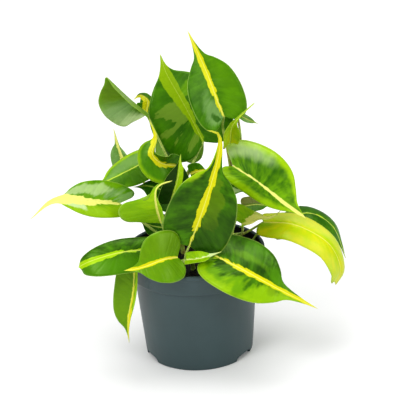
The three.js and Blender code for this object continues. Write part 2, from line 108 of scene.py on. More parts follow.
# The leaves.
LEAVES = {
    "leaf_crown_right": Leaf(
        rib=((30, 0, 211), (24, 4, 228), (17, 12, 248), (4, 22, 279)), face=((0, -1, 0.3), (0, -1, 0.3)),
        left=(23, 15, 25, 10, 0.9, 0.8), right=(23, 10, 20, -20, 0.9, 0.6),
        stalk=("stem_right", 0.98, (29, 11, 197)),
    ),
    "leaf_crown_left": Leaf(
        rib=((12, 20, 182), (-2, 30, 211), (-16, 44, 236), (-21, 54, 251)),
        face=((-0.1, -1, 0.3), (0, -1, 0.3)),
        left=(35, 5, 20, -20, 1, 0.7), right=(33, 5, 20, 0, 1, 0.6),
        stalk=("stem_centre", 0.98, (6, 20, 171)),
    ),
    "leaf_upper_left": Leaf(
        rib=((-34, 20, 209), (-50, 12, 228), (-65, 4, 248)), face=((-0.3, -0.9, 0.3), (-0.3, -0.9, 0.3)),
        left=(25, 0, 0, 0, 1.15, 0), right=(18, 80, 80, 0, 1.15, 0), sweep=0.25,
        stalk=("stem_centre", 0.74, (-22, 20, 178)),
    ),
    "leaf_upper_rear": Leaf(
        rib=((-35, 40, 204), (-33, 42, 214), (-39, 46, 218), (-45, 46, 214)),
        face=((0, -1, 0.3), (0, -1, 0.3)),
        left=(9, 0, 0, 0, 1, 0.4), right=(6, 40, 40, 0, 1, 0.4),
        stalk=("stem_centre", 0.8, (-16, 40, 180)),
    ),
    "leaf_far_left": Leaf(
        rib=((-54, 39, 151.5), (-60, 39, 169.5), (-64, 37, 191.5)),
        face=((-0.6, -0.8, 0.3), (-0.6, -0.8, 0.3)),
        left=(11, 20, 10, 0, 0.85, 0.2), right=(14, 25, 10, 0, 0.75, 0.3),
        stalk=("stem_centre", 0.5, (-34, 28, 139)),
    ),
    "leaf_twisted": Leaf(
        rib=((-13, 2, 169), (-25, -6, 175), (-32, -6, 184), (-28, 0, 196), (-33, 6, 208)),
        face=((-0.2, -0.7, 0.7), (-0.2, -0.9, 0.4)),
        left=(17, 0, 0, -20, 0.9, 0.2), right=(10, 50, 60, 0, 0.8, 0.4),
        stalk=("stem_centre", 0.76, (-10, 7, 158)),
    ),
    "leaf_middle_left": Leaf(
        rib=((-32, 14, 172), (-55, 8, 163), (-81, 0, 154)), face=((0, -0.5, 0.9), (0, -0.5, 0.9)),
        left=(16, 0, 0, -30, 1.05, 0.6), right=(19, 0, 0, -30, 1.05, 0.6),
        stalk=("stem_centre", 0.64, (-20, 17, 156)),
    ),
    "leaf_left_long": Leaf(
        rib=((-60, -16, 145), (-77, -26, 151), (-110, -40, 160), (-132, -46, 147)),
        face=((0, -0.7, 0.7), (0, -0.7, 0.7)),
        left=(13, 0, 0, -20, 0.85, 1), right=(19, 10, 10, 0, 0.78, 1.3),
        stalk=("stem_left", 0.6, (-38, -14, 122)),
    ),
    "leaf_front_funnel": Leaf(
        rib=(
            (-26, -30, 130.4), (-29, -34, 148.4), (-29, -34, 160.4), (-25, -32, 165.4), (-15, -28, 167.4),
        ),
        face=((-0.3, -0.8, 0.5), (0, -0.8, 0.6)),
        left=(32, 10, 10, 0, 0.6, 0), right=(12, 60, 50, 0, 0.6, 0), sweep=0.3,
        stalk=("stem_left", 0.75, (-23, -24, 117)),
    ),
    "leaf_centre_spear": Leaf(
        rib=((-18, -12, 141), (-11, -10, 161), (-7, -4, 181)), face=((0.2, -1, 0.3), (0.2, -1, 0.3)),
        left=(13, 20, 20, 0, 1, 0.3), right=(12, 20, 20, 0, 1, 0.3),
        stalk=("stem_left", 0.93, (-19, -9.5, 132)),
    ),
    "leaf_front_heart": Leaf(
        rib=((-4, -44, 115), (9, -48, 149), (22, -42, 186), (25, -38, 207), (15, -42, 214)),
        face=((0, -0.95, 0.4), (0, -1, 0.3)),
        left=(28, 10, 30, -10, 0.8, 0.2), right=(29, 10, 30, -10, 0.8, 0.3), sweep=0.25,
        stalk=("stem_front", 0.9, (-7, -43, 108)),
    ),
    "leaf_right_glossy": Leaf(
        rib=((36, -2, 167.4), (54, -12, 157.4), (75, -22, 141.4), (94, -26, 126.4)),
        face=((0.3, -0.5, 0.8), (0.4, -0.7, 0.6)),
        left=(30, 20, 20, 0, 1.05, 1.4), right=(14, -20, -20, -30, 1.05, 0.6),
        stalk=("stem_right", 0.56, (43, 7, 158.5)),
    ),
    "leaf_right_drooping": Leaf(
        rib=((60, 0, 115), (86, -12, 116), (113, -18, 100), (123, -18, 76), (119, -14, 59)),
        face=((0.2, -0.6, 0.8), (0.7, -0.7, 0.3)),
        left=(13, 0, 0, -30, 1.25, 0.3), right=(15, 0, 0, -30, 1.4, 0.3),
        stalk=("stem_right", 0.1, (46, 7, 103)),
    ),
    "leaf_right_rear": Leaf(
        rib=((71, 14, 104), (97, 10, 117), (119, 6, 105), (130, 4, 75)),
        face=((0.3, -0.3, 0.9), (0.8, -0.4, 0.4)),
        left=(13, 0, 0, -30, 1.05, 0.3), right=(16, 0, 0, -30, 1.05, 0.3),
        stalk=("soil", (47, 18, 85.4), (57.5, 17, 98.6)),
    ),
    "leaf_right_inner": Leaf(
        rib=((44, 24, 120), (55, 24, 121), (67, 22, 120)), face=((0, -0.5, 0.9), (0, -0.5, 0.9)),
        left=(10, 0, 0, 0, 1.1, 0.6), right=(8, 0, 0, 0, 1.1, 0.6),
        stalk=("stem_right", 0.2, (38, 19, 112)),
    ),
    "leaf_right_funnel": Leaf(
        rib=((41, -8, 117), (53, -14, 124), (65, -16, 125), (75, -16, 132)),
        face=((0, -0.7, 0.7), (0, -0.7, 0.7)),
        left=(18, 10, 10, 0, 0.5, 0.8), right=(5, 40, 0, 0, 0.6, 0), sweep=-0.3,
        stalk=("stem_right", 0.14, (41, -1, 106)),
    ),
    "leaf_front_right": Leaf(
        rib=((17, -50, 108.2), (38, -64, 101.4), (65, -74, 87.6), (98, -78, 68.8)),
        face=((0.1, -0.6, 0.8), (0.3, -0.8, 0.5)),
        left=(30, 10, 10, -30, 0.82, 0.6), right=(24, 0, 0, -20, 0.92, 0.6),
        stalk=("stem_front", 0.3, (8, -40, 99)),
    ),
    "leaf_front_left": Leaf(
        rib=((-14, -54, 110), (-26, -62, 112), (-43, -66, 108), (-58, -64, 105)),
        face=((0, -0.7, 0.7), (0, -0.7, 0.7)),
        left=(20, 0, 0, -30, 0.92, 0.6), right=(23, 34, 14, -10, 0.92, 0.6),
        stalk=("stem_front", 0.94, (-13, -49.5, 105)),
    ),
    "leaf_left_low": Leaf(
        rib=((-36, -44, 114), (-61, -48, 114), (-84, -50, 109), (-96, -46, 102)),
        face=((0, -0.7, 0.7), (0, -0.7, 0.7)),
        left=(18, 0, 0, -20, 1.35, 0.6), right=(12, 10, 10, -20, 1.3, 0.6),
        stalk=("stem_left", 0.5, (-30, -30, 112)),
    ),
    "leaf_left_hanging": Leaf(
        rib=((-51, -38, 97), (-53, -40, 76), (-59, -38, 49), (-60, -36, 24)),
        face=((-0.3, -0.9, 0.2), (-0.3, -0.9, 0.2)),
        left=(4, 10, 10, 0, 1, 0.2), right=(16, 10, 10, 0, 1, 0.2), sweep=0.3,
        stalk=("stem_left", 0.35, (-42, -27, 106)),
    ),
    "leaf_inner_left": Leaf(
        rib=((-22, 6, 111), (-35, 4, 115), (-47, 2, 122)), face=((0, -0.8, 0.6), (0, -0.8, 0.6)),
        left=(10, 0, 0, 0, 1, 0.6), right=(12, 0, 0, 0, 1, 0.6),
        stalk=("stem_centre", 0.15, (-17, 7, 105)),
    ),
    "leaf_front_new": Leaf(
        rib=((-7.6, -51.1, 105.9), (6, -56, 109.2), (22, -54, 113.2)),
        face=((0, -0.5, 0.9), (0, -0.5, 0.9)),
        left=(7, 20, 20, 0, 0.9, 0), right=(7, 20, 20, 0, 0.9, 0),
    ),
    "leaf_crown_sheath": Leaf(
        rib=((34.5, 12, 182.5), (38, -4, 205), (56, -6, 223)), face=((0.3, -1, 0.3), (0.3, -1, 0.3)),
        left=(10, 30, 30, 0, 0.75, 0), right=(8, 30, 30, 0, 0.75, 0),
    ),
    "leaf_crown_sliver": Leaf(
        rib=((42, 12, 208), (50, 12, 203), (60, 12, 198)), face=((0, -0.9, 0.5), (0, -0.9, 0.5)),
        left=(3, 20, 0, 0, 1, 0.3), right=(3, 20, 0, 0, 1, 0.3),
        stalk=("stem_right", 0.78, (43.5, 21, 180)),
    ),
    "leaf_inner_centre": Leaf(
        rib=((-0.5, 10.9, 157.5), (7, 8.8, 160.4), (14, 9, 160.4)), face=((0, -1, 0.2), (0, -0.9, 0.5)),
        left=(8, 0, 0, 0, 1.1, 0), right=(10, 0, 0, 0, 1.1, 0),
    ),
    "leaf_inner_dark": Leaf(
        rib=((-12.5, 9, 139), (-34, 5, 150.2), (-49, 3, 151.2)), face=((0, -0.8, 0.6), (0, -0.8, 0.6)),
        left=(17, 0, 0, 0, 1, 0.5), right=(8, 0, 0, 0, 1, 0),
    ),
    "leaf_inner_right": Leaf(
        rib=((31, 5, 157.2), (39, 3, 148.7), (47, 2, 140.4)), face=((0, -0.8, 0.6), (0, -0.8, 0.6)),
        left=(8, 0, 0, 0, 1, 0.6), right=(14, 0, 0, 0, 1, 0.6),
        stalk=("stem_right", 0.45, (30, 8, 147)),
    ),
    "leaf_rear_low": Leaf(
        rib=((4, 28, 118), (4, 52, 122), (3, 76, 110), (2, 92, 84)), face=((0, 0.1, 1), (0, 0.8, 0.6)),
        left=(26, 10, 10, -20, 1, 1), right=(26, 10, 10, -20, 1, 1),
        stalk=("stem_centre", 0.3, (-4, 19, 114)),
    ),
    "leaf_rear_high": Leaf(
        rib=((-8, 44, 160), (-9, 58, 176), (-10, 72, 192), (-10, 86, 200)),
        face=((0, 0.8, 0.6), (0, 0.6, 0.8)),
        left=(22, 10, 10, -20, 1, 0.8), right=(22, 10, 10, -20, 1, 0.8),
        stalk=("stem_centre", 0.7, (-8, 30, 153)),
    ),
}

# Half a blade's outline from the notch at the stalk, round the lobe, to the tip, as shares of the midrib
# and of the half's width.
OUTLINE = (
    (0, 0), (-0.06, 0.14), (-0.13, 0.34), (-0.14, 0.6), (-0.06, 0.84), (0.1, 0.98),
    (0.32, 1), (0.53, 0.84), (0.68, 0.52), (0.78, 0.22), (0.88, 0.07), (1, 0),
)
# How far the side veins lean towards the tip: 1 is straight out.
VEIN_LEAN = 1.6


# ---- the blades' colours ----

L, R = -1, 1


class Patch(NamedTuple):
    """A patch on one half: the leaf's own colour, and painted sheen and glints where it is grey green or
    pale green. along, out: its middle, in shares of the blade. long, wide: its reach.
    """

    half: int
    along: float
    out: float
    long: float
    wide: float
    colour: str
    strength: float = 0.8
    soft: float = 0.3
    ragged: float = 0.5


class Look(NamedTuple):
    """A blade's colours. green: darker and lighter green. stripe: the colour along the midrib.
    left, right: the stripe's width in mm on each half, at places spaced evenly from the base to the tip,
    or one width all along. With no right, it is the same as left. feather: how ragged the stripe's edge is.
    rib: the midrib's width in mm. wave: the margin's rise in mm. mottle: contrast of the greens."""

    green: tuple
    stripe: str
    left: tuple
    right: tuple = ()
    feather: float = 0.8
    patches: tuple = ()
    rib: float = 0.6
    wave: float = 0.5
    mottle: float = 0.8
    gloss: float = 0.3


LOOKS = {
    "leaf_crown_right": Look(
        ("deep", "mid"), "yellow", (0.5, 1.8, 2.6, 3, 1.5), (0.4, 1.2, 2, 2.2, 1), feather=0.8,
        patches=(
            # The grey green patch is painted sheen, with a small deep green spot inside it.
            Patch(L, 0.25, 0.42, 0.22, 0.34, "sheen", 0.6, 0.35),
            Patch(L, 0.25, 0.5, 0.1, 0.12, "deep", 0.9, 0.3),
            Patch(R, 0.4, 0.55, 0.6, 0.4, "leaf", 0.35, 0.8),
        ),
    ),
    "leaf_crown_left": Look(
        ("deep", "mid"), "moss", (0.8, 1.6, 3.8, 8, 7), (0.6, 1.4, 3.2, 5, 3), feather=0.7, rib=0.1,
        patches=(
            Patch(L, 0.53, 0.22, 0.11, 0.44, "grey", 0.85, 0.1, 1.6),
            Patch(L, 0.27, 0.2, 0.05, 0.5, "grey", 0.85, 0.1, 1.2),
            Patch(R, 0.66, 0.4, 0.05, 0.35, "leaf", 0.7, 0.2, 0.8),
        ),
    ),
    "leaf_upper_left": Look(
        ("deep", "leaf"), "leaf", (0.2,), mottle=0.6, gloss=0.22,
        patches=(
            # The pale patch and the grey green streak are painted highlights: the gloss's whitish
            # reflection on the lower half.
            Patch(L, 0.2, 0.75, 0.34, 0.5, "pale", 0.8, 0.5, 0.4),
            Patch(L, 0.52, 0.5, 0.09, 0.5, "sheen", 0.7, 0.7, 0.4),
            Patch(L, 0.75, 0.5, 0.15, 0.6, "olive", 0.7, 0.5, 0.4),
            Patch(L, 0.1, 0.97, 0.1, 0.08, "yellow", 0.9, 0.2),
        ),
    ),
    "leaf_upper_rear": Look(("deep", "mid"), "yellow", (3, 5, 4, 3, 2), (1, 2, 2, 1, 1)),
    # Its lighter green is the grey green of painted sheen.
    "leaf_far_left": Look(("mid", "sheen"), "cream", (0.5, 1.5, 2, 1.5, 1), (1, 2, 3, 2, 1)),
    "leaf_twisted": Look(
        ("deep", "mid"), "yellow", (1, 2, 3, 4, 3), (0.5, 1.2, 2, 4, 3),
        patches=(Patch(L, 0.5, 1, 1, 0.2, "lime", 0.6, 0.6),),
    ),
    "leaf_middle_left": Look(
        ("mid", "leaf"), "lime", (0.4, 0.6, 0.8, 0.8, 0.8),
        patches=(
            # The grey green patch is painted sheen.
            Patch(R, 0.45, 0.4, 0.45, 0.35, "sheen", 0.6, 0.5),
            Patch(R, 0.5, 1, 0.8, 0.2, "lime", 0.8, 0.5),
            Patch(L, 0.4, 0.5, 0.5, 0.5, "deep", 0.7, 0.5),
        ),
    ),
    "leaf_left_long": Look(
        ("mid", "leaf"), "cream", (0.4, 1, 2.5, 4, 4), (0.4, 1.2, 3, 5, 4), feather=0.9, mottle=1.4,
        patches=(
            Patch(L, 0.35, 0.7, 0.6, 0.5, "lime", 0.6, 0.5),
            # The grey green patch and the two pale patches are painted sheen and glare.
            Patch(R, 0.2, 0.55, 0.22, 0.4, "sheen", 0.7, 0.3, 1.2),
            Patch(R, 0.6, 0.6, 0.2, 0.25, "pale", 0.5, 0.3, 1.0),
            Patch(L, 0.68, 0.35, 0.13, 0.3, "pale", 0.8, 0.2, 0.6),
        ),
    ),
    "leaf_front_funnel": Look(
        ("leaf", "lime"), "cream", (1, 1.5, 1.5, 1, 0.8), (0.8, 1, 1, 0.5, 0.8), feather=0.15,
        patches=(Patch(L, 0.6, 0.8, 0.4, 0.4, "leaf", 0.7, 0.6),),
    ),
    "leaf_centre_spear": Look(
        ("dark", "dark"), "lime", (0.5, 0.8, 1.2, 1.2, 1), (1.2, 3.5, 5, 4, 2), feather=0.3,
    ),
    "leaf_front_heart": Look(
        ("dark", "mid"), "yellow", (0.4, 1.2, 4.5, 2.2, 2), (0.4, 1, 3, 3, 2.5), feather=1.3, mottle=0.9,
        patches=(
            Patch(R, 0.56, 0.25, 0.16, 0.3, "olive", 0.7, 0.15, 0.9),
            Patch(L, 0.85, 0.9, 0.2, 0.35, "lime", 0.8, 0.3),
            Patch(R, 0.2, 0.6, 0.3, 0.6, "dark", 0.7, 0.5),
        ),
    ),
    "leaf_right_glossy": Look(
        ("deep", "leaf"), "cream", (0.4, 0.6, 0.8, 1.3, 1.5), (0.4, 0.6, 0.8, 1.7, 1.6), feather=0.5,
        mottle=1.1,
        patches=(
            Patch(L, 0.35, 1, 0.8, 0.18, "lime", 0.8, 0.5),
            Patch(L, 0.02, 0.6, 0.1, 0.5, "leaf", 0.9, 0.3),
            Patch(R, 0.5, 0.9, 0.6, 0.3, "lime", 0.6, 0.5),
            # The pale patch is painted sheen near the top of the blade.
            Patch(L, 0.3, 0.72, 0.2, 0.2, "pale", 0.5, 0.7, 0.5),
        ),
    ),
    "leaf_right_drooping": Look(
        ("lime", "yellow"), "yellow", (0.3,), mottle=0.9,
        patches=(
            Patch(R, 0.1, 0.5, 0.2, 0.6, "leaf", 0.7, 0.5),
            Patch(L, 0.5, 0.6, 0.2, 0.4, "cream", 0.3, 0.6),
            Patch(R, 0.8, 0.8, 0.3, 0.4, "cream", 0.2, 0.5),
        ),
    ),
    "leaf_right_rear": Look(("deep", "mid"), "lime", (0.3, 0.4, 0.4, 0.4, 0.4)),
    "leaf_right_inner": Look(
        ("deep", "mid"), "olive", (0.5, 1, 1, 1, 1),
        patches=(Patch(L, 0.4, 0.6, 0.6, 0.5, "brown", 0.6),),
    ),
    "leaf_right_funnel": Look(("leaf", "lime"), "cream", (0.3, 1, 4, 6, 6)),
    "leaf_front_right": Look(
        ("dark", "mid"), "yellow", (0.5, 1.2, 2.6, 2, 2), (0.5, 1, 2.5, 1.4, 1.5), feather=0.9,
        mottle=0.9,
        patches=(
            Patch(R, 0.55, 0.8, 0.6, 0.42, "leaf", 0.75, 0.3, 1.2),
            Patch(R, 0.3, 0.95, 0.3, 0.2, "lime", 0.6, 0.4, 0.8),
            Patch(R, 0.75, 0.6, 0.2, 0.6, "lime", 0.45, 0.3, 1.1),
            Patch(R, 0.12, 0.3, 0.06, 0.2, "lime", 0.8, 0.2),
            Patch(L, 0.5, 0.4, 0.12, 0.1, "leaf", 0.4, 0.6, 1.0),
            Patch(L, 0.75, 0.5, 0.12, 0.3, "mid", 0.7, 0.3, 1.0),
        ),
    ),
    "leaf_front_left": Look(
        ("mid", "leaf"), "yellow", (0.6, 1.2, 1.6, 1.4, 1.4), (0.6, 1.2, 1.8, 1.8, 1.5), feather=0.5,
        mottle=0.6,
        patches=(
            Patch(R, 0.35, 0.6, 0.5, 0.5, "olive", 0.6, 0.5),
            Patch(L, 0.5, 0.5, 0.6, 0.5, "olive", 0.4, 0.6),
        ),
    ),
    "leaf_left_low": Look(
        ("dark", "mid"), "lime", (0.3, 0.6, 1, 3, 3), (0.3, 0.8, 1.2, 2.5, 3), feather=0.8, mottle=0.9,
        patches=(Patch(L, 0.6, 0.7, 0.4, 0.5, "mid", 0.8, 0.5),),
    ),
    "leaf_left_hanging": Look(
        ("mid", "leaf"), "yellow", (0.3, 0.5, 1, 2.5, 2), (0.3, 0.4, 0.4, 0.4, 1), mottle=0.8,
        patches=(
            Patch(R, 0.5, 0.5, 0.6, 0.6, "olive", 0.5, 0.5),
            Patch(L, 0.3, 0.8, 0.5, 0.3, "lime", 0.7, 0.3),
        ),
    ),
    # Deep green for both tones keeps this inner leaf dark: painted shade of the plant's interior.
    "leaf_inner_left": Look(("deep", "deep"), "mid", (0.5, 1, 1, 1, 1)),
    "leaf_front_new": Look(("leaf", "lime"), "pale", (0.3, 0.3, 0.3, 1, 4)),
    "leaf_crown_sheath": Look(
        ("lime", "yellow"), "lime", (0.5, 1, 1, 1, 1),
        patches=(
            Patch(L, 0.9, 0.5, 0.4, 1, "leaf", 0.7, 0.5),
            Patch(R, 0.9, 0.5, 0.4, 1, "leaf", 0.7, 0.5),
        ),
    ),
    # Its lighter green is the grey green of painted sheen.
    "leaf_crown_sliver": Look(("mid", "sheen"), "mid", (0.2, 0.4, 0.4, 0.4, 0.4)),
    "leaf_inner_centre": Look(("deep", "mid"), "yellow", (0.3, 1, 1.5, 1, 1)),
    # Deep green for both tones keeps this inner leaf dark: painted shade of the plant's interior.
    "leaf_inner_dark": Look(("deep", "deep"), "mid", (0.3, 1, 1, 1, 1)),
    "leaf_inner_right": Look(
        ("deep", "mid"), "mid", (0.5, 1, 1, 1, 1),
        # The two pale patches are painted glints.
        patches=(Patch(R, 0.3, 0.5, 0.2, 0.2, "pale", 0.8), Patch(R, 0.7, 0.6, 0.2, 0.25, "pale", 0.7)),
    ),
    "leaf_rear_low": Look(
        ("deep", "mid"), "yellow", (0.5, 2, 3, 3, 2), (0.5, 1.5, 2.5, 2, 2),
        patches=(Patch(L, 0.4, 0.4, 0.2, 0.4, "grey", 0.8),),
    ),
    "leaf_rear_high": Look(
        ("deep", "mid"), "lime", (0.5, 1.5, 3, 3, 2), (0.5, 2, 2, 2, 2),
        patches=(Patch(R, 0.5, 0.4, 0.3, 0.3, "grey", 0.8),),
    ),
}


# ---- settings ----


def colour(name, description, hex_code):
    """A colour setting, from the code of the colour as it is seen on a screen."""
    rgb = [int(hex_code[i : i + 2], 16) / 255 for i in (0, 2, 4)]
    flat = [c / 12.92 if c <= 0.04045 else ((c + 0.055) / 1.055) ** 2.4 for c in rgb]
    return FloatVectorProperty(
        name=name, description=description, subtype="COLOR", size=3, min=0, max=1, default=flat
    )


def length(name, description, value):
    """A length setting, from its value in mm."""
    return FloatProperty(
        name=name, description=description, subtype="DISTANCE", unit="LENGTH", min=0, default=value * MM
    )


def angle(name, description, degrees):
    return FloatProperty(
        name=name, description=description, subtype="ANGLE", unit="ROTATION", default=math.radians(degrees)
    )


def number(name, description, value):
    return FloatProperty(name=name, description=description, min=0, default=value)


def whole_number(name, description, value, least=0):
    return IntProperty(name=name, description=description, min=least, default=value)


class PotSettings(bpy.types.PropertyGroup):
    rim_radius: length("Rim radius", "Outside radius of the lip", (pot_high.x - pot_low.x) / 2 / MM)
    height: length("Height", "Height of the pot", (pot_high.z - pot_low.z) / MM)
    collar_height: length("Collar height", "Height of the deep band under the lip", 19)
    collar_foot_radius: length("Collar foot radius", "Outside radius at the band's lower edge", 57)
    body_top_radius: length("Body top radius", "Outside radius just below the band", 53)
    foot_radius: length("Foot radius", "Outside radius at the foot", 46.5)
    wall: length("Wall", "Thickness of the wall", 1.8)
    notch_height: length("Notch height", "Height of the drainage notches in the foot", 4.6)
    notch_width: length("Notch width", "Width of the drainage notches in the foot", 21)
    drain_radius: length("Drain hole radius", "Radius of the holes in the floor", 4)
    segments: whole_number("Segments", "Steps round the pot", 192, 24)
    outer: colour("Outside", "Colour of the plastic outside", "344648")
    # Near-black inside: painted shade of the pot's hollow, given the form of a two-tone pot's black inner
    # skin.
    inner: colour("Inside", "Colour of the plastic inside", "0c0d0d")


class PeatSettings(bpy.types.PropertyGroup):
    crumbs: whole_number("Crumbs", "Crumbs of peat for each square metre", 140000)
    crumb_size: length("Crumb size", "Radius of the largest crumbs", 1.7)
    lumps: length("Lumps", "Height of the surface's unevenness", 2.2)
    seed: whole_number("Seed", "Changes the places of the crumbs", 4)
    dark: colour("Dark", "Colour of the damp peat", "0d0a07")
    light: colour("Light", "Colour of the driest crumbs", "3a2c1e")


class StalkSettings(bpy.types.PropertyGroup):
    stem_radius: length("Stem radius", "Radius of the vine stems", 1.9)
    petiole_radius: length("Petiole radius", "Radius of a leaf's stalk at its foot", 1.15)
    taper: number("Taper", "Share of the radius left at a stalk's end", 0.8)
    sides: whole_number("Sides", "Sides of a stalk's section", 14, 6)
    green: colour("Green", "Colour of the stalks", "86a53a")
    pale: colour("Pale", "Colour of the stalks where they are pale", "b9c76a")
    brown: colour("Brown", "Colour of the weathered stalks", "8a6a35")


class LeafSettings(bpy.types.PropertyGroup):
    rows: whole_number("Rows", "Steps along a blade", 44, 8)
    columns: whole_number("Columns", "Steps from the midrib to the margin", 12, 3)
    thickness: length("Thickness", "Thickness of a blade", 0.5)
    ridge: length("Ridge", "Height of the midrib under the blade", 0.9)
    channel: length("Channel", "Depth of the midrib's channel on the upper side", 0.3)
    dark: colour("Dark green", "The green of the oldest leaves", "143c00")
    deep: colour("Deep green", "The green of the shaded leaves", "255a00")
    mid: colour("Mid green", "The usual green", "4c8300")
    leaf: colour("Leaf green", "The lighter green", "6fa000")
    lime: colour("Lime", "Lime green", "9cc200")
    moss: colour("Moss", "Dull lime", "86a600")
    yellow: colour("Yellow", "The yellow of the stripes", "cbc70c")
    cream: colour("Cream", "The palest stripes", "dedd78")
    # Grey green that stands for the leaves' glossy reflection: painted sheen, mixed in as patches and as
    # the lighter green of some blades.
    sheen: colour("Grey green", "Grey green patches", "7da062")
    olive: colour("Olive", "Olive patches", "5c7a08")
    grey: colour("Grey lime", "Dull patches between the veins", "6f8f2c")
    # Pale green: as patches on the blades it is painted highlights and glints.
    pale: colour("Pale green", "Palest patches", "c4d8a0")
    brown: colour("Brown", "Weathered patches", "6e5522")
    under: colour("Underside", "Tint of the underside", "9dbb55")
    margin: colour("Margin", "The thin pale edge", "b7cf6a")


class StageSettings(bpy.types.PropertyGroup):
    elevation: angle("Elevation", "Angle of view above level", 22.2)
    roll: angle("Roll", "Turn of the camera about its line of sight", 3)
    distance: length("Distance", "From the camera to the point that it looks at", 1200)
    lens: number("Lens", "Focal length in millimetres on a 36 mm sensor", 128)
    aim_right: length("Aim to the right", "How far right of the pot's axis the camera looks", 6.8)
    aim_height: length("Aim height", "Height of the point that the camera looks at", 137.5)
    world: number("Room light", "Strength of the white room", 0.74)
    reflected: number("Reflected room", "Strength of the room as gloss mirrors it", 0.3)
    key: number("Key light", "Power of the big soft light on the left", 30)
    fill: number("Fill light", "Power of the soft light on the right", 14)
    top: number("Top light", "Power of the soft light above", 24)
    floor: colour("Floor", "Colour of the floor", "e6e6e6")


def in_mm(settings, *names):
    """Some lengths of a settings group, in mm."""
    return [getattr(settings, name) / MM for name in names]


# ---- node helpers ----


class Wire:
    """A node's output that sums can be written with: each sign adds a Math node to the wire's tree."""

    def __init__(self, tree, socket):
        self.tree, self.socket = tree, socket

    def __getitem__(self, name):
        """Another output of the same node."""
        return Wire(self.tree, self.socket.node.outputs[name])

    def __add__(self, other):
        return maths("ADD", self, other)

    def __sub__(self, other):
        return maths("SUBTRACT", self, other)

    def __rsub__(self, other):
        return maths("SUBTRACT", other, self)

    def __mul__(self, other):
        return maths("MULTIPLY", self, other)

    def __truediv__(self, other):
        return maths("DIVIDE", self, other)


def feed(tree, node, inputs):
    """Fills a node's inputs with values or with wires."""
    for key, value in inputs.items():
        if isinstance(value, Wire):
            tree.links.new(value.socket, node.inputs[key])
        else:
            node.inputs[key].default_value = value


def add(kind, inputs, output=0, tree=None, **settings):
    """Adds a node to its wires' tree, or to the tree given, and returns one of its outputs as a wire."""
    tree = tree or next(value.tree for value in inputs.values() if isinstance(value, Wire))
    node = tree.nodes.new(kind)
    for key, value in settings.items():
        setattr(node, key, value)
    feed(tree, node, inputs)
    return Wire(tree, node.outputs[output])


def maths(operation, a, b=0.0, c=0.0, clamp=False):
    return add("ShaderNodeMath", {0: a, 1: b, 2: c}, operation=operation, use_clamp=clamp)


def ramp(value, low, high, to_low=0.0, to_high=1.0, soft=True):
    """value from low to high becomes to_low to to_high, and stays within them."""
    inputs = {"Value": value, "From Min": low, "From Max": high, "To Min": to_low, "To Max": to_high}
    shape = "SMOOTHSTEP" if soft else "LINEAR"
    return add("ShaderNodeMapRange", inputs, "Result", interpolation_type=shape, clamp=True)


def noise(vector, scale, detail=2.0, roughness=0.5):
    inputs = {"Vector": vector, "Scale": scale, "Detail": detail, "Roughness": roughness}
    return add("ShaderNodeTexNoise", inputs, "Fac")


def mix(share, a, b):
    return add("ShaderNodeMix", {"Factor": share, "A": a, "B": b}, "Result", data_type="RGBA")


def combine(x, y, z):
    return add("ShaderNodeCombineXYZ", {0: x, 1: y, 2: z})


def attribute(tree, name, output="Fac"):
    return add("ShaderNodeAttribute", {}, output, tree, attribute_name=name)


def object_place(tree):
    return add("ShaderNodeTexCoord", {}, "Object", tree)


def rgba(values):
    return (values[0], values[1], values[2], 1.0)


def new_group(name, inputs, outputs, kind="ShaderNodeTree"):
    """A node group's tree, its inputs as wires and its output node. inputs: name, kind, default if any."""
    tree = bpy.data.node_groups.new(name, kind)
    for label, socket_kind, *default in inputs:
        socket = tree.interface.new_socket(label, in_out="INPUT", socket_type="NodeSocket" + socket_kind)
        if default:
            socket.default_value = default[0]
    for label, socket_kind in outputs:
        tree.interface.new_socket(label, in_out="OUTPUT", socket_type="NodeSocket" + socket_kind)
    given = {socket.name: Wire(tree, socket) for socket in tree.nodes.new("NodeGroupInput").outputs}
    return tree, given, tree.nodes.new("NodeGroupOutput")


def place_group(build, inputs):
    """A placed copy of a shared node group, which is built the first time it is wanted."""
    name = build.__name__
    group = bpy.data.node_groups.get(name) or build(name)
    return add("ShaderNodeGroup", inputs, node_tree=group)


def set_inputs(modifier, values):
    """Fills a Geometry Nodes modifier's inputs, found by name and set by identifier."""
    for item in modifier.node_group.interface.items_tree:
        if item.item_type == "SOCKET" and item.in_out == "INPUT" and item.name in values:
            modifier[item.identifier] = values[item.name]


def grown(piece, name, build, values):
    """The plain mesh that a Geometry Nodes tree makes of a piece."""
    modifier = piece.modifiers.new(build.__name__, "NODES")
    modifier.node_group = bpy.data.node_groups.get(build.__name__) or build(build.__name__)
    set_inputs(modifier, values)
    return baked(piece, name)


def finish_tree(tree, out, geometry, material):
    """Ends a Geometry Nodes tree: its instances are made real and it gets its material."""
    whole = add("GeometryNodeRealizeInstances", {"Geometry": geometry})
    painted = add("GeometryNodeSetMaterial", {"Geometry": whole, "Material": material})
    feed(tree, out, {0: painted})
    return tree


# ---- shader node groups that several finishes share ----

# Side veins on each half of a blade.
SIDE_VEINS = 13.0
# Seeds that make the two halves of a blade differ, and how far in mm a stripe's edge may swing.
GREEN_HALF_SEED, STRIPE_HALF_SEED = 3.7, 5.3
STRIPE_SWING = 7.0
# Sizes of the noises on plastic, stalks and peat, as waves for each metre.
PLASTIC_GRAIN, PLASTIC_SCUFFS = 1600.0, 28.0
STALK_GRAIN, STALK_SPOTS = 420.0, 150.0
PEAT_CLUMPS = 260.0


def blade_parts(blade):
    """The blade's own coordinates: the place along it where the side vein starts, the share of the way out
    to the margin, the distance from the midrib in mm, and -1 or 1 for the half."""
    along = add("ShaderNodeSeparateXYZ", {0: blade})
    out = along["Y"]
    return along, maths("ABSOLUTE", out), maths("ABSOLUTE", along["Z"]), maths("SIGN", out)


def streaks(along, share, seed, rate, stretch, detail=3.0):
    """Noise in streaks that run out along the side veins. rate: how many along the blade.
    stretch: how much they change on the way out to the margin."""
    return noise(combine(along * rate, share * stretch, seed), 1.0, detail, 0.6)


